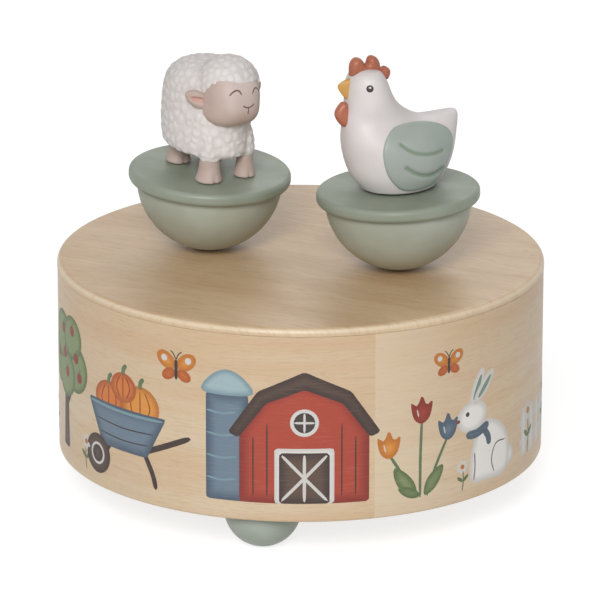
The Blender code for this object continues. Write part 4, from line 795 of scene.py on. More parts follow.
def fleece(look):
    noise.seed_set(FLEECE_SEED)
    body, skins, _ = subdivided(*fleece_cage(), 2)
    shapes = [(body, skins), ball(CAP, CAP_RADII), ball(TAIL, TAIL_RADII)]
    for x, y, _, size in LEGS.values():
        cuff, skins = lathe([(radius * size, height) for radius, height in CUFF_PROFILE], CUFF_STEPS)
        shapes.append(([(px + x, py + y, pz) for px, py, pz in cuff], skins))
    points, skins, normals = fused(shapes, FLEECE_GRAIN, FLEECE_SMOOTHING)
    curls, furrows = curl_heights(points, normals, CURL_SPACING, CURL_SEED, CURL_SWIRL)
    fine, _ = curl_heights(points, normals, CURL_SPACING / 2, FINE_SEED, 0.0)
    lift = CURL_HEIGHT * (curls * (1 - FINE_SHARE) + fine * FINE_SHARE) - FLEECE_INSET
    points = opened(points + normals * lift[:, None], curls) + np.array([0, 0, STAND])
    # How deep each point lies between the curls, for the wool's painted shade there.
    values = {"furrow_shade": furrows}
    new_piece("curly_fleece", (points, skins), look, "sheep", "wool_white", "sheep_fleece", 180, values)


def face_depth(y, z):
    """How far forward the face is at a place seen from the front."""
    tall = np.where(z > HEAD[2], FOREHEAD, CHIN)
    across, up = np.abs(y - HEAD[1]) / FACE_WIDTH, np.abs(z - HEAD[2]) / tall
    share = 1 - across**FACE_SQUARE - up**FACE_SQUARE
    return HEAD[0] + FACE_LENGTH * np.sqrt(np.clip(share, 0, None))


def opened(points, curls):
    """The wool with an opening for the face, whose edge follows the curls."""
    seen, forward = points[:, 1:3], points[:, 0]
    outline = smooth_line(FACE_OPENING, 6, closed=True)
    depth = edge_distance(seen, outline) * np.where(inside(seen, outline), 1, -1)
    depth += SCALLOP * (0.5 - curls)
    share = np.clip(depth / OPENING_SLOPE, 0, 1) * (forward > OPENING_FRONT)
    back = face_depth(points[:, 1], points[:, 2]) - WOOL_UNDER_FACE
    pressed = np.minimum(forward, forward * (1 - share) + back * share)
    made = points.copy()
    made[:, 0] = np.where(share > 0, pressed, forward)
    return made


def face_skin():
    """The face, full at the cheeks and taller at the forehead, which runs up under the wool."""
    points, skins = ball((0, 0, 0), (1, 1, 1), *FACE_STEPS)
    spots = []
    for x, y, z in points:
        tall = FOREHEAD if z > 0 else CHIN
        across, up = (math.copysign(abs(c) ** (2 / FACE_SQUARE), c) for c in (y, z))
        side = HEAD[1] + FACE_WIDTH * across
        spots.append((HEAD[0] + FACE_LENGTH * x, side, HEAD[2] + tall * up + STAND))
    return spots, skins


def fade(value, none, full):
    """0 to 1 as a value goes from none to full."""
    return min(1.0, max(0.0, (value - none) / (full - none)))


# Where the painted highlight on the face's front lies, across the face and in height
FACE_HIGHLIGHT_SIDE, FACE_HIGHLIGHT_LEVEL = (6.0, 3.4), (17.5, 21.0)  # where it begins and where it is full


def face(look):
    spots, skins = face_skin()
    # Paler at the front of the face round the eyes: a painted highlight
    face_highlight = [
        fade(abs(y), *FACE_HIGHLIGHT_SIDE) * fade(z - STAND, *FACE_HIGHLIGHT_LEVEL) * (x > HEAD[0])
        for x, y, z in spots
    ]
    values = {"blush": [0] * len(spots), "face_highlight": face_highlight}
    new_piece("smooth_face", (spots, skins), look, "sheep", "skin", "sheep_face", 180, values)


FOLD_LEVEL, FOLD_SLOPE, FOLD_WIDTH, FOLD_DEPTH = 0.05, 0.18, 0.26, 0.85  # shares of the ear
FOLD_END, FOLD_FADE = 0.35, 0.12
EAR_TAPER, EAR_BLUSH = 0.22, 1.7


def ears(look):
    """Small ears that point back along the head, each with a pink fold in its outer side."""
    thick, long, high = EAR_RADII
    for side, middle in EARS.items():
        sign = math.copysign(1, middle[1])
        points, skins = ball((0, 0, 0), (1, 1, 1), *EAR_STEPS)
        spots, blush = [], []
        turn = Matrix.Rotation(sign * (QUARTER + EAR_SWEEP), 3, "Z")
        for x, y, z in points:
            fold = math.exp(-(((z - FOLD_LEVEL + FOLD_SLOPE * x) / FOLD_WIDTH) ** 2)) * max(0, -sign * y)
            fold *= 1 / (1 + math.exp((x - FOLD_END) / FOLD_FADE))
            rise = high * z * (1 - EAR_TAPER * x) + EAR_RISE * x
            spot = Vector((long * x, thick * (y + sign * FOLD_DEPTH * fold), rise))
            spots.append(turn @ spot + Vector(middle) + Vector((0, 0, STAND)))
            blush.append(min(1, fold * EAR_BLUSH))
        shape, values = (spots, skins), {"blush": blush}
        new_piece(f"soft_ear_{side}", shape, look, "sheep", "skin", f"sheep_ear_{side}", 180, values)


SMILE = (  # the face's painted lines in Y and Z, and their half widths
    (((-4.1, 23.5), (-3.3, 24.3), (-2.2, 24.75), (-1.4, 24.4), (-0.95, 23.5)), 0.20),
    (((2.1, 23.4), (2.6, 24.2), (3.3, 24.6), (4.1, 24.2), (4.8, 23.3)), 0.20),
    (((-0.65, 20.95), (0.0, 20.45), (0.95, 20.2), (1.95, 20.5), (2.7, 21.0)), 0.18),
    (((0.95, 20.2), (0.95, 19.3), (0.9, 18.4)), 0.16),
)
LINE_PROUD = 0.09
STROKE_SIDES = 8


def stroke_on(skin, path, half_width, proud, spacing=0.15):
    """A thin painted line laid on a surface, thinner at its ends, as a closed strip."""
    spots = []
    for y, z in spaced(smooth_line(path, 8), spacing, False):
        hit, normal, _, _ = skin.ray_cast(Vector((40, y, z + STAND)), Vector((-1, 0, 0)))
        spots.append((hit, normal))
    rings = []
    last = len(spots) - 1
    for i, (hit, normal) in enumerate(spots):
        along = (spots[min(i + 1, last)][0] - spots[max(i - 1, 0)][0]).normalized()
        side = along.cross(normal).normalized()
        share = math.sqrt(max(0.04, 1 - (2 * i / last - 1) ** 6))
        ring = []
        for a in ring_of(STROKE_SIDES):
            across, up = side * half_width * share * math.cos(a), normal * proud * share * math.sin(a)
            ring.append(hit + across + up)
        rings.append(ring)
    return lofted(rings)


def smile(look):
    skin = BVHTree.FromPolygons(*face_skin())
    lines = joined(stroke_on(skin, path, half_width, LINE_PROUD) for path, half_width in SMILE)
    new_piece("painted_smile", lines, look, "sheep", "eye_brown", smooth=180)


LEG_PROFILE = (
    (1.9, 7.0), (2.3, 6.2), (2.5, 4.6), (2.6, 3.2), (2.85, 1.9), (3.2, 0.8), (3.32, 0.3), (3.2, 0.0)
)
CLEFT_ANGLE, CLEFT_HEIGHT, CLEFT_DEPTH = 0.16, 2.6, 0.13  # the depth as a share of the radius


def legs(look):
    """Flared legs with a small cleft in the front of each hoof."""
    profile = [(0, LEG_PROFILE[0][1])] + smooth_line(LEG_PROFILE, 4) + [(0, 0)]
    for name, (x, y, size, _) in LEGS.items():
        points, skins = lathe([(radius * size, height) for radius, height in profile], LEG_STEPS)
        spots = []
        for px, py, pz in points:
            angle = math.atan2(py, px)
            cleft = math.exp(-((angle / CLEFT_ANGLE) ** 2)) * max(0, 1 - pz / CLEFT_HEIGHT)
            share = 1 - CLEFT_DEPTH * cleft
            spots.append((x + px * share, y + py * share, pz + STAND))
        shape, values = (spots, skins), {"blush": [0] * len(spots)}
        new_piece(f"flared_{name}", shape, look, "sheep", "skin", f"sheep_{name}", 60, values)


# The hen, in shares of her height: a ring's front x and z, back x and z, width and egg
HEN_HEIGHT, HEN_HALF_WIDTH = 31.0, 10.6
HEN_RINGS = (
    (0.29, 0.00, -0.31, 0.00, 0.80, 0.00),
    (0.31, 0.02, -0.33, 0.02, 0.84, 0.00),
    (0.40, 0.12, -0.43, 0.12, 1.00, 0.02),
    (0.445, 0.23, -0.50, 0.26, 1.05, 0.08),
    (0.47, 0.35, -0.54, 0.44, 1.00, 0.30),
    (0.475, 0.48, -0.585, 0.612, 0.80, 0.68),
    (0.46, 0.62, -0.29, 0.505, 0.53, 0.42),
    (0.43, 0.71, -0.02, 0.662, 0.66, 0.10),
    (0.422, 0.82, 0.045, 0.80, 0.62, 0.00),
    (0.408, 0.935, 0.08, 0.915, 0.58, 0.00),
    (0.33, 1.015, 0.14, 1.00, 0.36, 0.00),
)
CREST = (
    (0.37, 0.955), (0.383, 0.99), (0.377, 1.05), (0.352, 1.088), (0.318, 1.10), (0.282, 1.082),
    (0.245, 1.035), (0.222, 1.082), (0.19, 1.097), (0.15, 1.075), (0.128, 1.035), (0.118, 0.985),
    (0.085, 0.996), (0.05, 0.975), (0.037, 0.94), (0.066, 0.885), (0.12, 0.90), (0.22, 0.94),
)
BEAK = ((0.35, 0.80), (0.395, 0.782), (0.43, 0.785), (0.49, 0.892), (0.405, 0.937), (0.35, 0.93))
WATTLE = (
    (0.40, 0.60), (0.425, 0.572), (0.456, 0.560), (0.495, 0.60), (0.520, 0.655), (0.512, 0.70),
    (0.478, 0.742), (0.448, 0.76), (0.41, 0.73),
)
WING = (
    (0.005, 0.034), (0.114, 0.062), (0.201, 0.155), (0.245, 0.265), (0.257, 0.375), (0.233, 0.452),
    (0.192, 0.506), (0.135, 0.556), (0.07, 0.577), (-0.06, 0.585), (-0.205, 0.566), (-0.318, 0.52),
    (-0.385, 0.45), (-0.388, 0.359), (-0.337, 0.248), (-0.245, 0.129), (-0.156, 0.055),
)
WING_GROOVES = (
    ((3.4, 12.9), (1.7, 11.3), (-0.5, 10.1), (-3.3, 9.5), (-6.0, 9.5), (-7.9, 9.9)),
    ((2.5, 7.0), (0.5, 5.5), (-2.0, 4.5), (-4.7, 4.4), (-7.6, 5.4)),
)
HEN_TRIMS = (  # outline, thickness, rounding, paint and taper
    ("crest", CREST, 3.4, 1.5, "brick_red", 0.0),
    ("beak", BEAK, 3.0, 1.6, "ochre", 4.5),
    ("wattle", WATTLE, 2.8, 1.2, "brick_red", 0.0),
)
WING_INSETS, WING_SPACING = (0.03, 0.10, 0.22, 0.40, 0.65), 0.30
WING_PROUD, WING_ROUND, WING_SUNK, WING_EDGE = 0.65, 0.8, 0.6, -0.15
FAR_WING_DROP, FAR_WING_TOP = 0.8, 17  # the hidden wing's top is this much lower
WING_START, WING_RAY, WING_SLOPE = 30, 8.0, 0.3  # it is laid on the body along sloping lines
GROOVE_DEPTH, GROOVE_WIDTH = 0.38, 0.58
HEN_EYE = (0.293, 0.502, 0.883)
HEN_EYE_RADIUS, HEN_EYE_PROUD, GLINT_RADIUS = 0.88, 0.42, 0.27
EYE_PARTS = (  # shift, radii, paint and slot
    ("bead_eye", (0, 0, 0), (HEN_EYE_RADIUS, HEN_EYE_RADIUS, HEN_EYE_PROUD), "eye", "eye_brown"),
    ("eye_glint", (0.08, 0.22, HEN_EYE_PROUD - 0.06), (GLINT_RADIUS, GLINT_RADIUS, 0.10), "hen_white",
     "hen_white"),
)
TAIL_RING, SADDLE_SAG = 5, 0.085


def scaled(shares):
    return [(x * HEN_HEIGHT, z * HEN_HEIGHT) for x, z in shares]


def hen_skin():
    rings = []
    for row, (front_x, front_z, back_x, back_z, width, egg) in enumerate(HEN_RINGS):
        sag = HEN_HEIGHT * SADDLE_SAG * (row == TAIL_RING)
        front = np.array([front_x, 0, front_z]) * HEN_HEIGHT
        back = np.array([back_x, 0, back_z]) * HEN_HEIGHT
        ring = []
        for a in ring_of(RING_POINTS):
            point = (front + back) / 2 + (front - back) / 2 * math.cos(a)
            point[1] = HEN_HALF_WIDTH * width * math.sin(a) * (1 + egg * math.cos(a))
            point[2] += STAND - sag * math.sin(a) ** 2
            ring.append(tuple(point))
        rings.append(ring)
    return subdivided(*lofted(rings), 3)


def wing(side, sign, skin, look):
    """A raised pad that follows the hen's side, with two grooves across it."""
    line = spaced(smooth_line(scaled(WING), 6, closed=True), WING_SPACING)
    points, faces, distance, count = filled(line, WING_SPACING, WING_INSETS)
    grooves = [spaced(smooth_line(path, 8), WING_SPACING, False) for path in WING_GROOVES]
    nearest = np.min([edge_distance(points, groove, False) for groove in grooves], 0)
    dent = np.exp(-((nearest / GROOVE_WIDTH) ** 2))
    height = pillow(distance, 2 * WING_PROUD, WING_ROUND) - GROOVE_DEPTH * dent
    level = (WING_START - WING_RAY) * WING_SLOPE
    outer, inner = [], []
    for (x, z), h, edge in zip(points, height, distance):
        z -= FAR_WING_DROP * (sign < 0) * min(1, max(0, z / FAR_WING_TOP))
        start = Vector((x, sign * WING_START, z + STAND + level))
        hit, normal, _, _ = skin.ray_cast(start, Vector((0, -sign, -WING_SLOPE)).normalized())
        outer.append(tuple(hit + normal * (WING_EDGE if edge < 1e-6 else h)))
        inner.append(tuple(hit - normal * WING_SUNK))
    spots, skins = walled(outer, inner, faces, count)
    if sign > 0:
        skins = [face[::-1] for face in skins]
    # The dent is also handed to the material, which darkens the grooves with painted shade.
    shape, values = (spots, skins), {"groove": [*dent, *([0] * len(inner))]}
    new_piece(f"wing_pad_{side}", shape, look, "hen", "sage_wing", f"hen_wing_{side}", 80, values)


def bead_eye(side, sign, skin, looks):
    """A flat dark bead on the side of the head, with a small painted glint."""
    x, y, z = HEN_EYE[0] * HEN_HEIGHT, HEN_EYE[1] * HEN_HALF_WIDTH, HEN_EYE[2] * HEN_HEIGHT
    middle, normal, _, _ = skin.find_nearest(Vector((x, sign * y, z + STAND)))
    turn = normal.to_track_quat("Z", "Y").to_matrix()
    for name, shift, radii, paint, slot_name in EYE_PARTS:
        points, skins = ball(shift, radii, *EYE_STEPS)
        shape = [turn @ Vector(p) + middle for p in points], skins
        node = f"hen_eye_{side}" if name == "bead_eye" else None
        new_piece(f"{name}_{side}", shape, looks[paint], "hen", slot_name, node, 180)


def hen(looks):
    points, skins, _ = hen_skin()
    new_piece("smooth_hen", (points, skins), looks["hen_white"], "hen", "hen_white", "hen_body", 180)
    skin = BVHTree.FromPolygons([tuple(p) for p in points], skins)
    for name, shares, thickness, rounding, paint, taper in HEN_TRIMS:
        shape = puffed(smooth_line(scaled(shares), 6, closed=True), thickness, rounding, taper)
        new_piece(f"rounded_{name}", shape, looks[paint], "hen", paint, f"hen_{name}", 180)
    for side, sign in (("left", 1), ("right", -1)):
        wing(side, sign, skin, looks["sage_wing"])
        bead_eye(side, sign, skin, looks)


# The frieze: garden and farm motifs printed all round the wall, each drawn from its own middle
# and ground line
PRINT_SPACING, PRINT_FINEST = 0.9, 0.28
OVAL_POINTS, PLATE_SPACING, STROKE_SPACING = 40, 0.4, 0.35
PRINT_STEP, PRINT_ROOT = 0.012, 0.04  # out from the wall by each layer, and into it
INKS = {  # colour, its airbrushed edge and how far that reaches in
    "red": ((170, 70, 53), (130, 48, 40), 3.4),
    "brown": ((90, 71, 61), (60, 46, 42), 2.6),
    "dark": ((62, 52, 48), (52, 44, 42), 0.6),
    "white": ((236, 233, 228), (206, 202, 197), 2.0),
    "ochre": ((216, 146, 66), (184, 112, 48), 2.2),
    "orange": ((208, 122, 60), (170, 88, 44), 2.2),
    "blue": ((110, 127, 142), (76, 91, 106), 3.0),
    "sky": ((158, 180, 184), (122, 148, 156), 1.6),
    "green": ((128, 142, 98), (92, 108, 70), 1.8),
    "leaf": ((112, 130, 96), (92, 110, 80), 0.6),
    "sage": ((158, 174, 158), (120, 140, 124), 2.0),
}


def oval(x, z, across, up=None, turn=0.0):
    c, s = math.cos(turn), math.sin(turn)
    spots = ((across * math.cos(a), (up or across) * math.sin(a)) for a in ring_of(OVAL_POINTS))
    return [(x + p * c - q * s, z + p * s + q * c) for p, q in spots]


def plate(*points):
    """A straight-sided outline with hand-softened corners."""
    line = spaced(points, PLATE_SPACING)
    for _ in range(2):
        line = (np.roll(line, 1, 0) + 2 * line + np.roll(line, -1, 0)) / 4
    return line


def board(left, low, right, high):
    return plate((left, low), (right, low), (right, high), (left, high))


def blob(*points):
    return smooth_line(points, 8, closed=True)


def stroke(width, *points):
    """The outline of a brush stroke with round ends."""
    line = spaced(smooth_line(points, 8), STROKE_SPACING, False)
    along = np.gradient(line, axis=0)
    along /= np.linalg.norm(along, axis=1)[:, None]
    share = np.sqrt(np.clip(1 - np.linspace(-1, 1, len(line)) ** 8, 0.06, 1))
    side = np.stack([-along[:, 1], along[:, 0]], 1) * width / 2 * share[:, None]
    return np.vstack([line + side, (line - side)[::-1]])


def strokes(ink_name, width, *paths):
    return [(ink_name, stroke(width, *path)) for path in paths]


def ovals(ink_name, *shapes):
    return [(ink_name, oval(*shape)) for shape in shapes]


# Each motif gives its layers from the lowest to the highest, an ink and an outline each


def barn():
    yield "blue", board(12, 0, 21.5, 24)
    yield "sky", blob((11.4, 24), (22.1, 24), (20.6, 27.6), (16.8, 29.4), (13, 27.6))
    yield from strokes("sky", 0.45, *(((14.6, z), (18, z - 0.5), (21.4, z)) for z in (5, 10, 15, 20)))
    yield "red", plate((-14, 0), (14, 0), (14, 16), (9, 23.5), (0, 27.5), (-9, 23.5), (-14, 16))
    roof = [(-16.6, 15.4), (-14.2, 14.4), (-8.2, 22.4), (0, 25.6), (8.2, 22.4), (14.2, 14.4)]
    yield "brown", plate(*roof, (16.6, 15.4), (10, 25), (0, 29.6), (-10, 25))
    planks = (((x, 1.5), (x, top)) for x, top in ((-11, 15), (-8, 18), (8, 18), (11, 15)))
    yield from strokes("dark", 0.3, *planks)
    yield "white", board(-6.4, 0, 6.4, 12.4)
    yield "brown", board(-5.4, 0, 5.4, 11.4)
    yield from strokes("white", 0.7, ((-5, 0.5), (5, 11)), ((5, 0.5), (-5, 11)), ((0, 0.4), (0, 11)))
    yield "white", oval(0, 18.2, 3.1)
    yield "dark", oval(0, 18.2, 2.3)
    yield from strokes("white", 0.5, ((-2.2, 18.2), (2.2, 18.2)), ((0, 16), (0, 20.4)))


def pumpkin(x, z, across, up, ink_name):
    yield ink_name, oval(x, z, across, up)
    for k in (-1, 0, 1):
        end, side = x + k * across * 0.25, x + k * across * 0.52
        yield "red", stroke(0.3, (end, z + up * 0.75), (side, z), (end, z - up * 0.7))
    yield "leaf", stroke(1.1, (x, z + up * 0.85), (x + 0.2, z + up + 1), (x + 1.2, z + up + 2))


def wheelbarrow():
    yield from pumpkin(-5.5, 19, 5.2, 4.4, "orange")
    yield from pumpkin(5, 19.5, 5.6, 5, "ochre")
    yield from pumpkin(-0.4, 23, 4.2, 3.6, "orange")
    yield "brown", stroke(1.4, (4, 8), (11, 11), (19, 14.6))
    yield from strokes("brown", 1.3, ((6, 9), (8.6, 4), (9.6, 0.4)), ((-9, 4.4), (-6, 7), (-4, 10)))
    yield "blue", plate((-13.5, 18), (12.5, 18), (7, 7.6), (-8, 7.6))
    yield "sky", stroke(0.7, (-12.6, 17.2), (0, 17), (11.6, 17.2))
    yield "dark", stroke(0.3, (-10, 13.6), (0, 13.2), (9, 13.6))
    yield "dark", stroke(0.3, (-8.6, 10.6), (0, 10.2), (7.4, 10.6))
    for ink_name, radius in (("brown", 4.8), ("white", 2.7), ("brown", 2.1)):
        yield ink_name, oval(-10, 4.6, radius)


def rabbit():
    yield from ovals("white", (-3.6, 23.2, 1.5, 5.0, -0.42), (8.6, 3.8, 2.4))
    yield "sage", oval(-3.4, 23.2, 0.6, 3.4, -0.42)
    yield "white", blob((7, 0.2), (9, 5), (7, 11), (2, 14.5), (-2.6, 14), (-5.2, 8), (-5.4, 1), (0, 0))
    yield from ovals("white", (-5, 16.6, 4.8, 3.8, 0.15), (-1.2, 23, 1.5, 4.9, -0.75))
    yield "sage", oval(-1, 23, 0.6, 3.4, -0.75)
    yield "blue", stroke(2.1, (-7, 12.4), (-3.4, 12.2), (0.6, 13.8))
    yield "blue", stroke(1.7, (-1.2, 12.6), (0.4, 10.6), (0.8, 8.4))
    yield "brown", stroke(0.3, (-4.2, 7.6), (-4, 4), (-4.4, 0.8))
    yield "brown", stroke(0.3, (7.4, 8), (3.4, 8), (1.8, 4.4), (3, 1))
    yield "dark", oval(-6.6, 17.4, 0.6)
    yield "red", oval(-9.5, 16.2, 0.6, 0.45)


def butterfly():
    yield from ovals("ochre", *((s * 2.5, 2, 2.7, 1.8, s * 0.6) for s in (-1, 1)))
    yield from ovals("orange", *((s * 1.9, -1.1, 1.9, 1.3, -s * 0.5) for s in (-1, 1)))
    yield from ovals("white", *((s * 3, 2.4, 0.8) for s in (-1, 1)))
    yield "dark", stroke(0.8, (0, -2.2), (0, 0), (0, 2.4))
    yield from strokes("dark", 0.25, *(((0, 2.2), (s * 0.6, 3.6), (s * 1.6, 4.4)) for s in (-1, 1)))


def leaf(x, z, length, turn):
    c, s = math.cos(turn), math.sin(turn)
    shape = ((0, 0), (0.35, 0.2), (0.75, 0.17), (1, 0), (0.7, -0.15), (0.3, -0.17))
    return blob(*((x + length * (p * c - q * s), z + length * (p * s + q * c)) for p, q in shape))


def tulips():
    bloom = ((-2, 0.4), (-2.7, 4), (-1.2, 3.2), (0, 5.4), (1.2, 3.2), (2.7, 4), (2, 0.4), (0, -1))
    for x, high, lean, ink_name in ((-6, 11, -1.6, "ochre"), (5.6, 13, 1.6, "blue"), (0, 18, 0.3, "red")):
        end = x + lean
        yield "leaf", stroke(0.7, (x * 0.3, 0), (x * 0.7, high * 0.5), (end, high))
        yield ink_name, blob(*((end + p, high + q) for p, q in bloom))
        yield "white", stroke(0.3, (end - 1.2, high + 2.4), (end - 0.8, high + 0.6))
    for x, length, turn in ((-1, 9, 2.2), (1, 8, 0.9), (0, 6, 2.7)):
        yield "green", leaf(x, 0.4, length, turn)


def tree():
    fruit = ((-6.6, 20), (-2, 26.6), (1, 17.4), (6.6, 22), (4.4, 27.6), (-1, 21.4), (8.4, 18))
    yield "brown", plate((-2, 0), (2, 0), (1.4, 14), (-1.2, 14))
    yield "brown", stroke(1.1, (0, 9), (3, 13), (5, 16))
    for x, z, radius in ((-5.5, 19, 6.4), (6, 19.6, 6.2), (0, 17, 6), (-3, 25, 6), (4, 26, 5.4)):
        yield "green", oval(x, z, radius, radius * 0.9)
    yield from ovals("red", *((x, z, 1.25) for x, z in fruit))
    yield from strokes("leaf", 0.5, *(((x, z + 1), (x + 0.5, z + 2.1)) for x, z in fruit))


def fence():
    for z in (3, 8):
        yield "white", board(-13, z, 13, z + 1.6)
    for x in (-10.5, -5.2, 0, 5.2, 10.5):
        yield "white", plate((x - 1.5, 0), (x + 1.5, 0), (x + 1.5, 11), (x, 13), (x - 1.5, 11))
    yield from daisy(-8, 11)
    yield from daisy(7.6, 12.4)


def daisy(x=0.0, high=9.0):
    yield "leaf", stroke(0.5, (x, 0), (x + 0.6, high * 0.5), (x, high))
    for turn in (0.7, 2.5):
        yield "green", leaf(x + 0.4, high * 0.4, 3.4, turn)
    for a in ring_of(7):
        yield "white", oval(x + 1.5 * math.cos(a), high + 1.5 * math.sin(a), 1.1, 0.7, a)
    yield "ochre", oval(x, high, 0.9)


def hive():
    yield "brown", board(-9, 0, 9, 1.8)
    for k, across in enumerate((7.6, 8, 7.4, 6.2, 4.4, 2.2)):
        yield "ochre", oval(0, 3.6 + 2.9 * k, across, 2.0)
    yield "dark", oval(0, 5, 1.7, 1.9)
    yield "brown", stroke(0.8, (0, 19.6), (0.4, 21.6))


def watering_can():
    yield "sage", stroke(1.5, (-4, 3), (-8, 6.6), (-10.6, 11))
    yield "sage", oval(-11, 11.6, 2.4, 1.2, 0.5)
    yield "sage", stroke(1.2, (4, 8), (8.4, 8), (8.2, 3.4), (4.6, 1.8))
    yield "sage", stroke(1.2, (-3.6, 9), (0, 13.6), (3.8, 9))
    yield "sage", plate((-5.4, 0), (5.4, 0), (4.4, 10), (-4.4, 10))
    yield "white", stroke(0.4, (-3.6, 8.4), (-4, 2))
    for k in range(3):
        yield "blue", oval(-12.4 - k, 8.6 - 2.4 * k, 0.45, 0.8)


FRIEZE = (  # motif, how far round from the middle of the front, ground line, size, mirrored
    (tree, -76, 15, 1.12, 1), (wheelbarrow, -47, 14, 1.05, 1), (butterfly, -31, 46, 1.1, 1),
    (barn, 1, 15, 1.12, -1), (tulips, 30, 14, 1.1, 1), (rabbit, 51, 14, 1.05, 1),
    (butterfly, 38, 46, 0.9, -1), (fence, 79, 15, 1.0, 1), (daisy, 42.5, 13, 0.7, 1),
    (daisy, -63, 13, 0.8, -1), (watering_can, 103, 14, 1.1, 1), (hive, 123, 15, 1.1, 1),
    (tulips, 140, 14, 1.0, -1), (tree, 158, 15, 1.1, -1), (barn, 189, 15, 1.1, 1),
    (wheelbarrow, 226, 14, 0.95, -1), (butterfly, 246, 44, 1.1, 1), (rabbit, 256, 14, 1.0, -1),
    (daisy, 268, 14, 0.9, 1), (fence, 282, 15, 0.8, -1),
)


def printed(name, middle, ground, size, mirrored, layers, looks):
    """A motif on the wall: thin inked shapes, each laid over those that it meets."""
    shapes, edges, inked, laid = [], [], [], []
    names = sorted({ink_name for ink_name, _ in layers})
    for ink_name, outline in layers:
        line = np.array(outline) * (size * mirrored, size) + (middle, ground)
        low, high = line.min(0), line.max(0)
        met = [below for a, b, below in laid if np.all(a < high) and np.all(low < b)]
        level = 1 + max(met, default=0)
        laid.append((low, high, level))
        spacing = min(PRINT_SPACING, max(PRINT_FINEST, (high - low).min() / 3))
        spots, skins, distance, count = filled(line, spacing)
        turns = spots[:, 0] / WALL_RADIUS
        front, back = (
            list(zip(radius * np.sin(turns), -radius * np.cos(turns), spots[:, 1]))
            for radius in (WALL_RADIUS + PRINT_STEP * level, WALL_RADIUS - PRINT_ROOT)
        )
        shapes.append(walled(front, back, skins, count))
        inked += [names.index(ink_name)] * len(shapes[-1][1])
        edges += [*distance, *distance]
    inks, values = [looks[n] for n in names], {"edge": edges}
    piece = new_piece(name, joined(shapes), inks, "music_box", "drum_wall", smooth=30, values=values)
    piece.data.polygons.foreach_set("material_index", inked)


def print_frieze():
    looks = {name: ink(name, *values) for name, values in INKS.items()}
    for k, (motif, middle, ground, size, mirrored) in enumerate(FRIEZE):
        name = f"printed_{motif.__name__}_{k + 1}"
        printed(name, middle, ground, size, mirrored, list(motif()), looks)


METALS = {  # slot, and its material's name, colour and roughness
    "steel_screw": ("zinc_screw", (188, 186, 180), 0.34),
    "brass": ("brass", (206, 172, 104), 0.30),
    "bedplate": ("cast_bedplate", (170, 168, 160), 0.46),
    "bright_steel": ("bright_steel", (200, 200, 200), 0.24),
    "spring_steel": ("spring_steel", (126, 130, 138), 0.30),
    "magnet": ("nickelled_magnet", (178, 180, 184), 0.26),
}


def dress_cad():
    """Gives every CAD node that keeps its shape a finished material in its own slot."""
    looks = {slot: metal(*values) for slot, values in METALS.items()}
    looks["bottom_board"] = plywood()
    looks["white_plastic"] = painted("white_plastic", (226, 224, 216), (216, 213, 204), 0.42, 0.015)
    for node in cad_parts.values():
        for held in node.material_slots:
            if held.material.name in looks:
                held.material = looks[held.material.name]


# Camera, lights and floor


def camera():
    data = bpy.data.cameras.new("camera")
    data.sensor_width, data.lens = CAMERA_SENSOR, CAMERA_LENS
    data.clip_start, data.clip_end = CAMERA_CLIP
    tilt = CAMERA_ELEVATION + CAMERA_PITCH
    ahead = math.sin(CAMERA_YAW) * math.cos(tilt), math.cos(CAMERA_YAW) * math.cos(tilt)
    forward = Vector((*ahead, -math.sin(tilt)))
    level = forward.cross(Vector((0, 0, 1))).normalized()
    turn = Matrix((level, level.cross(forward), -forward)).transposed()
    turn @= Matrix.Rotation(CAMERA_ROLL, 3, "Z")
    eye = Vector((0, -math.cos(CAMERA_ELEVATION), math.sin(CAMERA_ELEVATION))) * CAMERA_DISTANCE
    eye.z += TOP
    made = added("camera", data)
    made.matrix_world = Matrix.Translation(eye * MM) @ turn.to_4x4()
    bpy.context.scene.camera = made


LIGHTS = (  # place, size and watts of each, in metres
    ("key", (-0.3, -2.2, 1.45), (0.9, 0.9), 44),
    ("back", (0.5, 1.9, 1.7), (1.2, 1.0), 8),
)
LIGHTS_AIM = Vector((0, 0, 0.05))
WORLD_LIGHT = 0.32
WHITE = (1, 1, 1, 1)
FLOOR_SIZE = 6.0
FLOOR_GREY, SHADOW_GREY, FLOOR_GLOW = 0.80, 0.42, 0.78  # in light, in the picture, and its own


def softbox(name, place, size, watts):
    data = bpy.data.lights.new(name, "AREA")
    data.shape = "RECTANGLE"
    data.size, data.size_y = size
    data.energy = watts
    made = added(name, data)
    made.location = place
    made.rotation_euler = (LIGHTS_AIM - Vector(place)).to_track_quat("-Z", "Y").to_euler()


def backdrop_rays(tree):
    """1 for rays that see the background: the camera's, a reflection's and a transmission's."""
    rays = new_node(tree, "LightPath").outputs
    seen = rays["Is Camera Ray"]
    for other in ("Is Glossy Ray", "Is Transmission Ray"):
        seen = new_node(tree, "Math", {0: seen, 1: rays[other]}, operation="MAXIMUM").outputs[0]
    return seen


def studio():
    world = bpy.data.worlds.new("studio")
    bpy.context.scene.world = world
    world.use_nodes = True
    tree = world.node_tree
    lit = tree.nodes["Background"]
    lit.inputs["Color"].default_value = WHITE
    lit.inputs["Strength"].default_value = WORLD_LIGHT
    seen = new_node(tree, "Background", {"Color": WHITE, "Strength": 1.0})
    mix = new_node(tree, "MixShader", {0: backdrop_rays(tree), 1: lit, 2: seen})
    tree.links.new(mix.outputs[0], tree.nodes["World Output"].inputs["Surface"])
    for light in LIGHTS:
        softbox(*light)


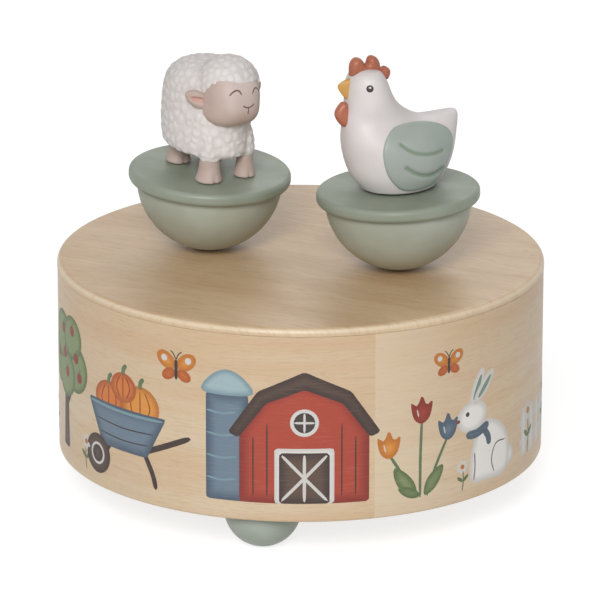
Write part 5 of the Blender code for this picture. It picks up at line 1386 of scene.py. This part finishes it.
def diffuse(tree, grey):
    return new_node(tree, "BsdfDiffuse", {"Color": (grey, grey, grey, 1)})


def floor():
    mesh = bpy.data.meshes.new("floor")
    half = FLOOR_SIZE / 2
    mesh.from_pydata([(-half, -half, 0), (half, -half, 0), (half, half, 0), (-half, half, 0)], [], [range(4)])
    material = bpy.data.materials.new("floor")
    material.use_nodes = True
    tree = material.node_tree
    tree.nodes.remove(tree.nodes["Principled BSDF"])
    glow = new_node(tree, "Emission", {"Strength": FLOOR_GLOW})
    seen = new_node(tree, "AddShader", {0: diffuse(tree, SHADOW_GREY), 1: glow})
    mix = new_node(tree, "MixShader", {0: backdrop_rays(tree), 1: diffuse(tree, FLOOR_GREY), 2: seen})
    # From below the floor isn't there, so that the underside shows
    below = new_node(tree, "NewGeometry").outputs["Backfacing"]
    clear = new_node(tree, "MixShader", {0: below, 1: mix, 2: new_node(tree, "BsdfTransparent")})
    tree.links.new(clear.outputs[0], tree.nodes["Material Output"].inputs["Surface"])
    mesh.materials.append(material)
    added("floor", mesh)


drum(wall_wood(), top_wood())
feet(painted("sage_foot", (168, 177, 167), (159, 169, 158), 0.50))
SAGE_CUP = painted("sage_light", (172, 178, 165), (163, 168, 154), 0.50)
SAGE_LID = painted("sage_dark", (143, 151, 136), (136, 144, 128), 0.45)
cup("sheep", SAGE_CUP, SAGE_LID)
cup("hen", SAGE_CUP, SAGE_LID)
SKIN = face_look()
fleece(wool_look())
face(SKIN)
ears(SKIN)
legs(SKIN)
smile(painted("smile_brown", (122, 92, 80), (108, 80, 70), 0.45))
HEN_LOOKS = {
    "hen_white": painted("hen_white", (220, 214, 213), (214, 206, 203), 0.50),
    "brick_red": painted("brick_red", (178, 106, 78), (164, 94, 68), 0.42),
    "ochre": painted("ochre", (204, 158, 84), (196, 146, 76), 0.42),
    "eye": painted("eye_brown", (62, 48, 46), (50, 38, 38), 0.12, 0.0),
    "sage_wing": wing_look(),
}
hen(HEN_LOOKS)
print_frieze()
dress_cad()

camera()
studio()
floor()
bpy.context.scene.view_settings.view_transform = "Standard"
